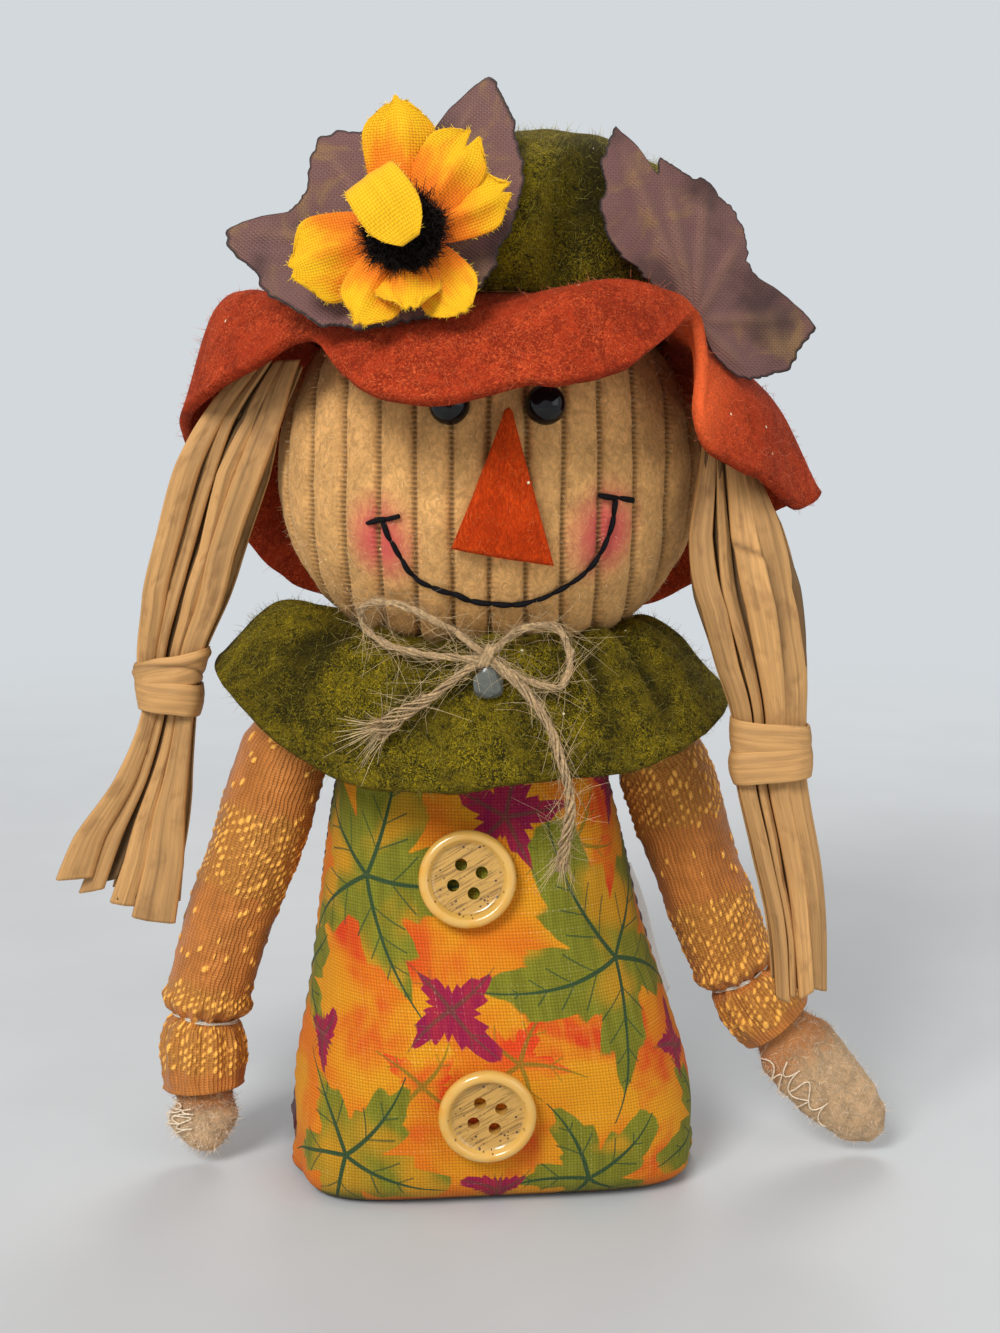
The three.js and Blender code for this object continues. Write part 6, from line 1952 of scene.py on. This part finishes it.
def make_arms(cloth, hat, trim):
    knit = knit_cloth(cloth)
    fuzzy = mitten_cloth(cloth)
    fluff = hairs("hand_fluff", cloth.hand, (0.9, 0.78, 0.6))
    white = plain_finish("white_thread", (0.55, 0.5, 0.42), 0.7, scale=3, depth=0.5)
    cream = plain_finish("cream_lint", (0.8, 0.66, 0.48), 0.85, scale=3, depth=0.4)
    for name, side in (("left", -1), ("right", 1)):
        body = "arm_" + name
        path = arm_route(SLEEVES[name], side)
        sleeve = finished(knitted(name, side, path), knit, body, "knit", "sleeve_" + name)
        palm = finished(
            hand(name, side, arm_route(HANDS[name], side)), fuzzy, body, "hand_cloth", "hand_" + name)
        fuzzed(
            palm, "hand_fuzz_" + name, 3200, 0.8, 0.04, fluff, body, "hand_cloth",
            seed=113, bend=0.9, lean=2.0)
        finished(lint(name, arm_route(HANDS[name], side)), cream, body, "hand_cloth")
        wrist, heading = path.at(WRIST), path.heading(WRIST)
        across = unit(np.cross(heading, FRONT))
        forward = unit(np.cross(across, heading))
        turn = np.linspace(0, WRIST_TURNS * TURN, 150)[:, None]
        reach = WRIST_RADIUS + 0.2 * noise(turn * (1, 1, 1), 0.9, 7)[:, None]
        ring = reach * (np.sin(turn) * across + np.cos(turn) * forward)
        along = (turn / (WRIST_TURNS * TURN) - 0.5) * 0.7
        wind = wrist + ring + heading * along + heading * 0.3 * np.sin(1.3 * turn)
        wraps = piped("wrist_wraps_" + name, wind, 0.14, 6)
        finished(wraps, white, body, "white_thread", "wrist_thread_" + name)
        shank = roughened(copied("shank_thread_" + name, "shoulder_shank_" + name), 0.7, 0.12, 6)
        finished(shank, white, "root", "white_thread", "shoulder_shank_" + name)


class DOLL_OT_arms(DollPiece, bpy.types.Operator):
    """Knit the sleeves with their gold nubs, and set the fuzzy hands, the wrist threads and the shanks"""

    bl_idname = "doll.arms"
    bl_label = "Arms"
    make = staticmethod(make_arms)


# Pigtails

PIGTAILS = {
    "left": [
        (14.5, (-30.5, -8.5), (-24, -12.2), 2.6), (8.5, (-36, -8.5), (-26.4, -12), 3.4),
        (1.5, (-40, -8), (-28.9, -10.6), 4.4), (-6.7, (-42.8, -7.2), (-32, -9), 5),
        (-17.5, (-45.7, -7), (-35.8, -7.6), 5), (-25, (-46.9, -7), (-38.9, -7.2), 4.6),
        (-31.5, (-46.4, -7), (-39.9, -7), 4.6), (-40.5, (-49.9, -7), (-40.9, -7), 4.6),
        (-49.5, (-55.8, -7), (-41.9, -7), 4.4), (-61.5, (-61.6, -7), (-43.9, -7), 4.2)],
    "right": [
        (10, (31, -12), (26.2, -13.8), 2.6), (5, (33.2, -12.6), (27.6, -14.2), 3),
        (0.5, (34.6, -13.2), (27.2, -15), 4), (-7.1, (37.5, -15), (26.4, -16), 5),
        (-14.8, (39.6, -16), (26.6, -16.5), 5), (-23.9, (40.9, -16), (29.6, -16.5), 5),
        (-31.1, (41, -16), (32.1, -16), 4.6), (-39.1, (41.2, -16), (32.7, -16), 4.6),
        (-49.1, (43, -16), (35, -16), 4.6), (-58.5, (44.2, -16), (37.2, -16), 4.4),
        (-69.5, (44.8, -16), (38.4, -16), 4.2)],
}
TIE_TOPS = {"left": -24.4, "right": -31.9}
CUTS = {"left": (-55.0, -61.0), "right": (-67.9, -69.1)}
TIE_WIDTH = 7.8
# Faces across and along the front, middle and back strip of a ribbon
STRIP_GRIDS = ((26, 170), (14, 80), (22, 120))
# Front strip of each ribbon: where it starts and ends across, its layer, its tilt and ridge in millimetres,
# and the height at which its end is turned over, if it is
RAFFIA_FRONTS = {
    "left": [
        (-0.03, 0.27, 0.38, -0.5, 0.3, None), (0.22, 0.42, 0.24, 0.9, 0.3, None),
        (0.5, 0.74, 0.16, -0.8, 0.5, None), (0.68, 1.03, 0.38, 0.6, 0.5, None)],
    "right": [
        (-0.03, 0.33, 0.26, 1.2, 0.25, None), (0.29, 0.57, 0.4, -0.9, 0.3, -10.0),
        (0.6, 0.74, 0.24, 1.0, 0.4, None), (0.79, 1.03, 0.34, -1.0, 0.4, None)],
}


def bundle(stations):
    """A pigtail's outer and inner edge, its directions and its thickness, read by height."""
    rising = [(HEAD_Z + rise, *outer, *inner, thick) for rise, outer, inner, thick in reversed(stations)]
    reads = [through([(row[0], row[k]) for row in rising]) for k in range(1, 6)]

    def at(height):
        ox, oy, ix, iy, thick = (read(height) for read in reads)
        outer, inner = points(ox, oy, height), points(ix, iy, height)
        across = unit(inner - outer)
        front = unit(np.cross(across, UP))
        front = front * -np.sign(front[..., 1:2])
        return outer, inner, across, front, thick

    return at


def strip(name, at, top, bottom, tie, shape, deep, seed, grid):
    """One strip of raffia paper with turned edges, crisp kinks along it and a few cross creases."""
    start, end, layer, tilt, ridge, flap = shape
    rng = np.random.default_rng(seed)
    crease, slant = rng.uniform(0.3, 0.7), rng.uniform(-1.6, 1.6)
    knots = np.linspace(bottom - 1, top + 1, 10) + rng.uniform(-1.6, 1.6, 10)
    swerve, push = rng.uniform(-1, 1, (2, 10))
    wrinkles = rng.uniform((tie - 22, -2.5, 0.0), (top - 3, 2.5, 0.6), (6, 3))

    def placed(u, v):
        return bottom + (top - bottom) * v + slant * (u - 0.5) * ease(0.1, 0, v)

    def wrinkled(u, height):
        lines = [bump(height + lean * (u - 0.5), spot, 0.4) * ease(from_u - 0.05, from_u + 0.1, u)
                 * ease(from_u + 0.5, from_u + 0.3, u) for spot, lean, from_u in wrinkles]
        return sum(lines) * ease(tie + 0.5, tie + 2, height) + sum(lines) * ease(tie - 9, tie - 11, height)

    def place(u, v):
        height = placed(u, v)
        outer, inner, across, front, thick = at(height)
        width = np.linalg.norm(inner - outer, axis=-1)
        loose = ease(tie + 2, tie + 12, height) * ease(top, top - 8, height)
        loose = loose + 0.7 * ease(tie - 9, tie - 24, height)
        grip = 1 - 0.3 * bump(height, tie - TIE_WIDTH / 2, 7)
        side = start + (end - start) * u + 0.04 * loose * np.interp(height, knots, swerve)
        tent = np.abs(u - crease) / max(crease, 1 - crease)
        depth = grip * (thick * layer + tilt * (u - 0.5) + ridge * (0.5 - tent))
        depth = depth + 0.55 * loose * np.interp(height, knots, push)
        folded = 0.5 * (ease(0.09, 0, u) + ease(0.91, 1, u))
        depth = depth - np.sign(layer) * (folded + 0.22 * wrinkled(u, height))
        if flap is not None:
            turned = HEAD_Z + flap + 1.4 * (u - 0.5)
            depth = depth + ease(turned + 0.35, turned - 0.35, height) * ease(turned - 13, turned - 4, height)
        spots = outer + across * (width * side)[..., None] + front * depth[..., None]
        return spots + front * (0.1 * noise(spots * (1, 1, 0.3), 1.9, seed))[..., None]

    flat = lambda u, v: points(u * 4.0 + seed, (top - bottom) * v)

    def marks(u, v):
        # The crease mark paints shade in the creases and a shadow line at the flap's turned edge; the edge
        # mark paints a highlight on the turned edges; deep paints shade on strips inside the bundle
        fold = (0.6 if flap is None else 0.3) * bump(u, crease, 0.03) + 0.14 * wrinkled(u, placed(u, v))
        if flap is not None:
            fold = fold + 0.9 * bump(placed(u, v), HEAD_Z + flap + 0.5 + 1.4 * (u - 0.5), 0.45)
        edge = np.maximum(bump(u, 0.05, 0.03), bump(u, 0.95, 0.03))
        number = (seed * 0.37) % 1
        return {"crease": np.clip(fold, 0, 1), "edge": edge, "strip": number + 0 * u, "deep": deep + 0 * u}

    return walled(formed(name, *grid, place, flat=flat, marks=marks, outward=False), RAFFIA)


def wrapped(name, at, tie):
    """Two turns of raffia round a pigtail, one over the other."""
    parts = []
    for turn, (high, low, grow, lean) in enumerate(((0.0, -4.6, 0.55, 0.5), (-3.4, -7.6, 0.75, -0.6))):
        twist = 0.38 if name == "left" and turn == 0 else 0.0

        def folded(u, v):
            """A crease that crosses the wrap, where the paper was twisted."""
            return bump(v, 0.5 + twist * np.sin(TURN * u + 2.4), 0.07) * (1.0 if twist else 0.15)

        def place(u, v):
            angle = TURN * u + math.pi
            height = tie + high + (low - high) * v + (lean + 1.6 * twist) * np.sin(angle)
            outer, inner, across, front, thick = at(height)
            x, y = signed(np.sin(angle), 0.7), signed(np.cos(angle), 0.7)
            half = np.linalg.norm(inner - outer, axis=-1) / 2 + grow
            ridge = 0.3 * arch(v) - 0.25 * folded(u, v) + twist * 0.9 * bump(v, 0.2, 0.12)
            middle = (outer + inner) / 2
            wide, deep = (half + ridge) * x, (thick / 2 + grow + ridge) * y
            spots = middle + across * wide[..., None] + front * deep[..., None]
            return spots + 0.12 * noise(spots, 1.4, 121)[..., None] * front

        flat = lambda u, v: points(v * 4.6, u * 30)
        # The crease mark paints shade along the wrap's twisted crease
        marks = lambda u, v: {"crease": 0.8 * folded(u, v), "strip": 0.6 + 0 * u}
        wrap = formed(f"wrap_{name}_{turn}", 120, 26, place, flat=flat, marks=marks)
        parts.append(walled(wrap, TIE_RAFFIA))
    return joined("raffia_wrap_" + name, parts)


def make_pigtails(cloth, hat, trim):
    paper = raffia_paper(trim)
    for number, (name, stations) in enumerate(PIGTAILS.items()):
        body = "pigtail_" + name
        at = bundle(stations)
        top, tie = HEAD_Z + stations[0][0], HEAD_Z + TIE_TOPS[name]
        for ribbon in range(4):
            outer_cut, inner_cut = CUTS[name]
            bottom = HEAD_Z + outer_cut + (inner_cut - outer_cut) * ribbon / 3
            start, end = ribbon / 4, (ribbon + 1) / 4
            shapes = [RAFFIA_FRONTS[name][ribbon], (start, end, 0.04, 0.4, -1.2, None),
                      (start - 0.05, end + 0.05, -0.3, 0.5, 0.5, None)]
            strips = []
            for k, shape in enumerate(shapes):
                seed = 131 + 40 * number + 7 * ribbon + 3 * k
                # The middle strip of each ribbon gets painted shade through deep
                high, low, deep = top - 0.4 * k, bottom + 0.9 * k, 1.0 if k == 1 else 0.0
                label = f"strip_{name}_{ribbon}_{k}"
                strips.append(strip(label, at, high, low, tie, shape, deep, seed, STRIP_GRIDS[k]))
            piece = joined(f"raffia_fold_{name}_{ribbon + 1}", strips)
            finished(piece, paper, body, "raffia", f"raffia_{name}_{ribbon + 1}")
        finished(wrapped(name, at, tie), paper, body, "raffia", "raffia_tie_" + name)


class DOLL_OT_pigtails(DollPiece, bpy.types.Operator):
    """Fold the raffia ribbons of both pigtails and wrap their ties"""

    bl_idname = "doll.pigtails"
    bl_label = "Pigtails"
    make = staticmethod(make_pigtails)


# Stage

def lamp(name, spot, aim, size, power):
    alone()
    bpy.ops.object.light_add(type="AREA", location=spot)
    lamp = bpy.context.object
    lamp.name = name
    lamp.data.size, lamp.data.energy = size, power
    lamp.rotation_euler = (Vector(aim) - Vector(spot)).to_track_quat("-Z", "Y").to_euler()


def make_stage(cloth, hat, trim):
    alone()
    bpy.ops.mesh.primitive_plane_add(size=6, location=(0, 0, -0.0005))
    floor = bpy.context.object
    floor.name = "floor"
    pale, backdrop = trim.floor, trim.backdrop

    def write(b):
        wear = b.noise(b.place(), 0.02, 3.0, 0.5)
        far = b.band(b.vector("LENGTH", b.place(), out=1), 130.0, 620.0)
        near = b.scale(pale, b.band(wear, 0.3, 0.7, 0.97, 1.03))
        b.paint(b.mix(far, near, (0, 0, 0)))
        b.feed(b.shader["Emission Color"], backdrop)
        b.feed(b.shader["Emission Strength"], far)
        b.feed(b.shader["Specular IOR Level"], b.band(far, 0.0, 1.0, 0.4, 0.0))

    floor.data.materials.append(dressed("pale_floor", 0.7, write))
    scene = bpy.context.scene
    scene.view_settings.view_transform = "Standard"
    world = bpy.data.worlds.new("studio")
    scene.world = world
    world.use_nodes = True
    tree = world.node_tree
    back = tree.nodes["Background"]
    board = Board(tree)
    path = board.add("LightPath", {})
    mirrored = board.math("MAXIMUM", path["Is Glossy Ray"], path["Is Transmission Ray"])
    seen = board.math("MAXIMUM", path["Is Camera Ray"], mirrored)
    board.feed(back.inputs["Color"], board.mix(seen, (1.0, 1.0, 1.0), backdrop))
    board.feed(back.inputs["Strength"], board.band(seen, 0.0, 1.0, 0.46, 1.0))
    lamp("key", (-0.3, -0.6, 0.56), (0, 0, 0.07), 0.28, 5.5)
    lamp("fill", (0.55, -0.45, 0.3), (0, 0, 0.07), 0.5, 1.0)
    lamp("rim", (0.1, 0.5, 0.55), (0, 0, 0.08), 0.3, 1.5)
    alone()
    bpy.ops.object.camera_add(location=(0.0015, -0.234, 0.1006), rotation=(math.radians(82.2), 0, 0))
    camera = bpy.context.object
    camera.name = "camera"
    camera.data.sensor_fit, camera.data.sensor_height, camera.data.lens = "VERTICAL", 36, 45.9
    camera.data.clip_start = 0.01
    scene.camera = camera


class DOLL_OT_stage(DollPiece, bpy.types.Operator):
    """Set the plain floor, the soft lights and the camera"""

    bl_idname = "doll.stage"
    bl_label = "Stage"
    make = staticmethod(make_stage)


# Add-on

SETTINGS = {"doll_cloth": DollClothSettings, "doll_hat": DollHatSettings, "doll_trim": DollTrimSettings}
OPERATORS = (
    DOLL_OT_stage, DOLL_OT_body, DOLL_OT_fillings, DOLL_OT_label, DOLL_OT_buttons, DOLL_OT_head, DOLL_OT_face,
    DOLL_OT_hat, DOLL_OT_leaves, DOLL_OT_sunflower, DOLL_OT_collar, DOLL_OT_bow, DOLL_OT_arms,
    DOLL_OT_pigtails)


class DOLL_PT_panel(bpy.types.Panel):
    """Lists the doll's pieces in the order in which they are made"""

    bl_idname = "DOLL_PT_panel"
    bl_label = "Doll"
    bl_space_type = "VIEW_3D"
    bl_region_type = "UI"
    bl_category = "Doll"

    def draw(self, context):
        for group in settings():
            for name in type(group).__annotations__:
                self.layout.prop(group, name)
        for operator in OPERATORS:
            self.layout.operator(operator.bl_idname)


def register():
    for kind in (*SETTINGS.values(), *OPERATORS, DOLL_PT_panel):
        bpy.utils.register_class(kind)
    for name, kind in SETTINGS.items():
        setattr(bpy.types.Scene, name, bpy.props.PointerProperty(type=kind))


def unregister():
    for name in SETTINGS:
        delattr(bpy.types.Scene, name)
    for kind in reversed((*SETTINGS.values(), *OPERATORS, DOLL_PT_panel)):
        bpy.utils.unregister_class(kind)


def main():
    register()
    for operator in OPERATORS:
        family, name = operator.bl_idname.split(".")
        getattr(getattr(bpy.ops, family), name)()


if __name__ == "__main__":
    main()
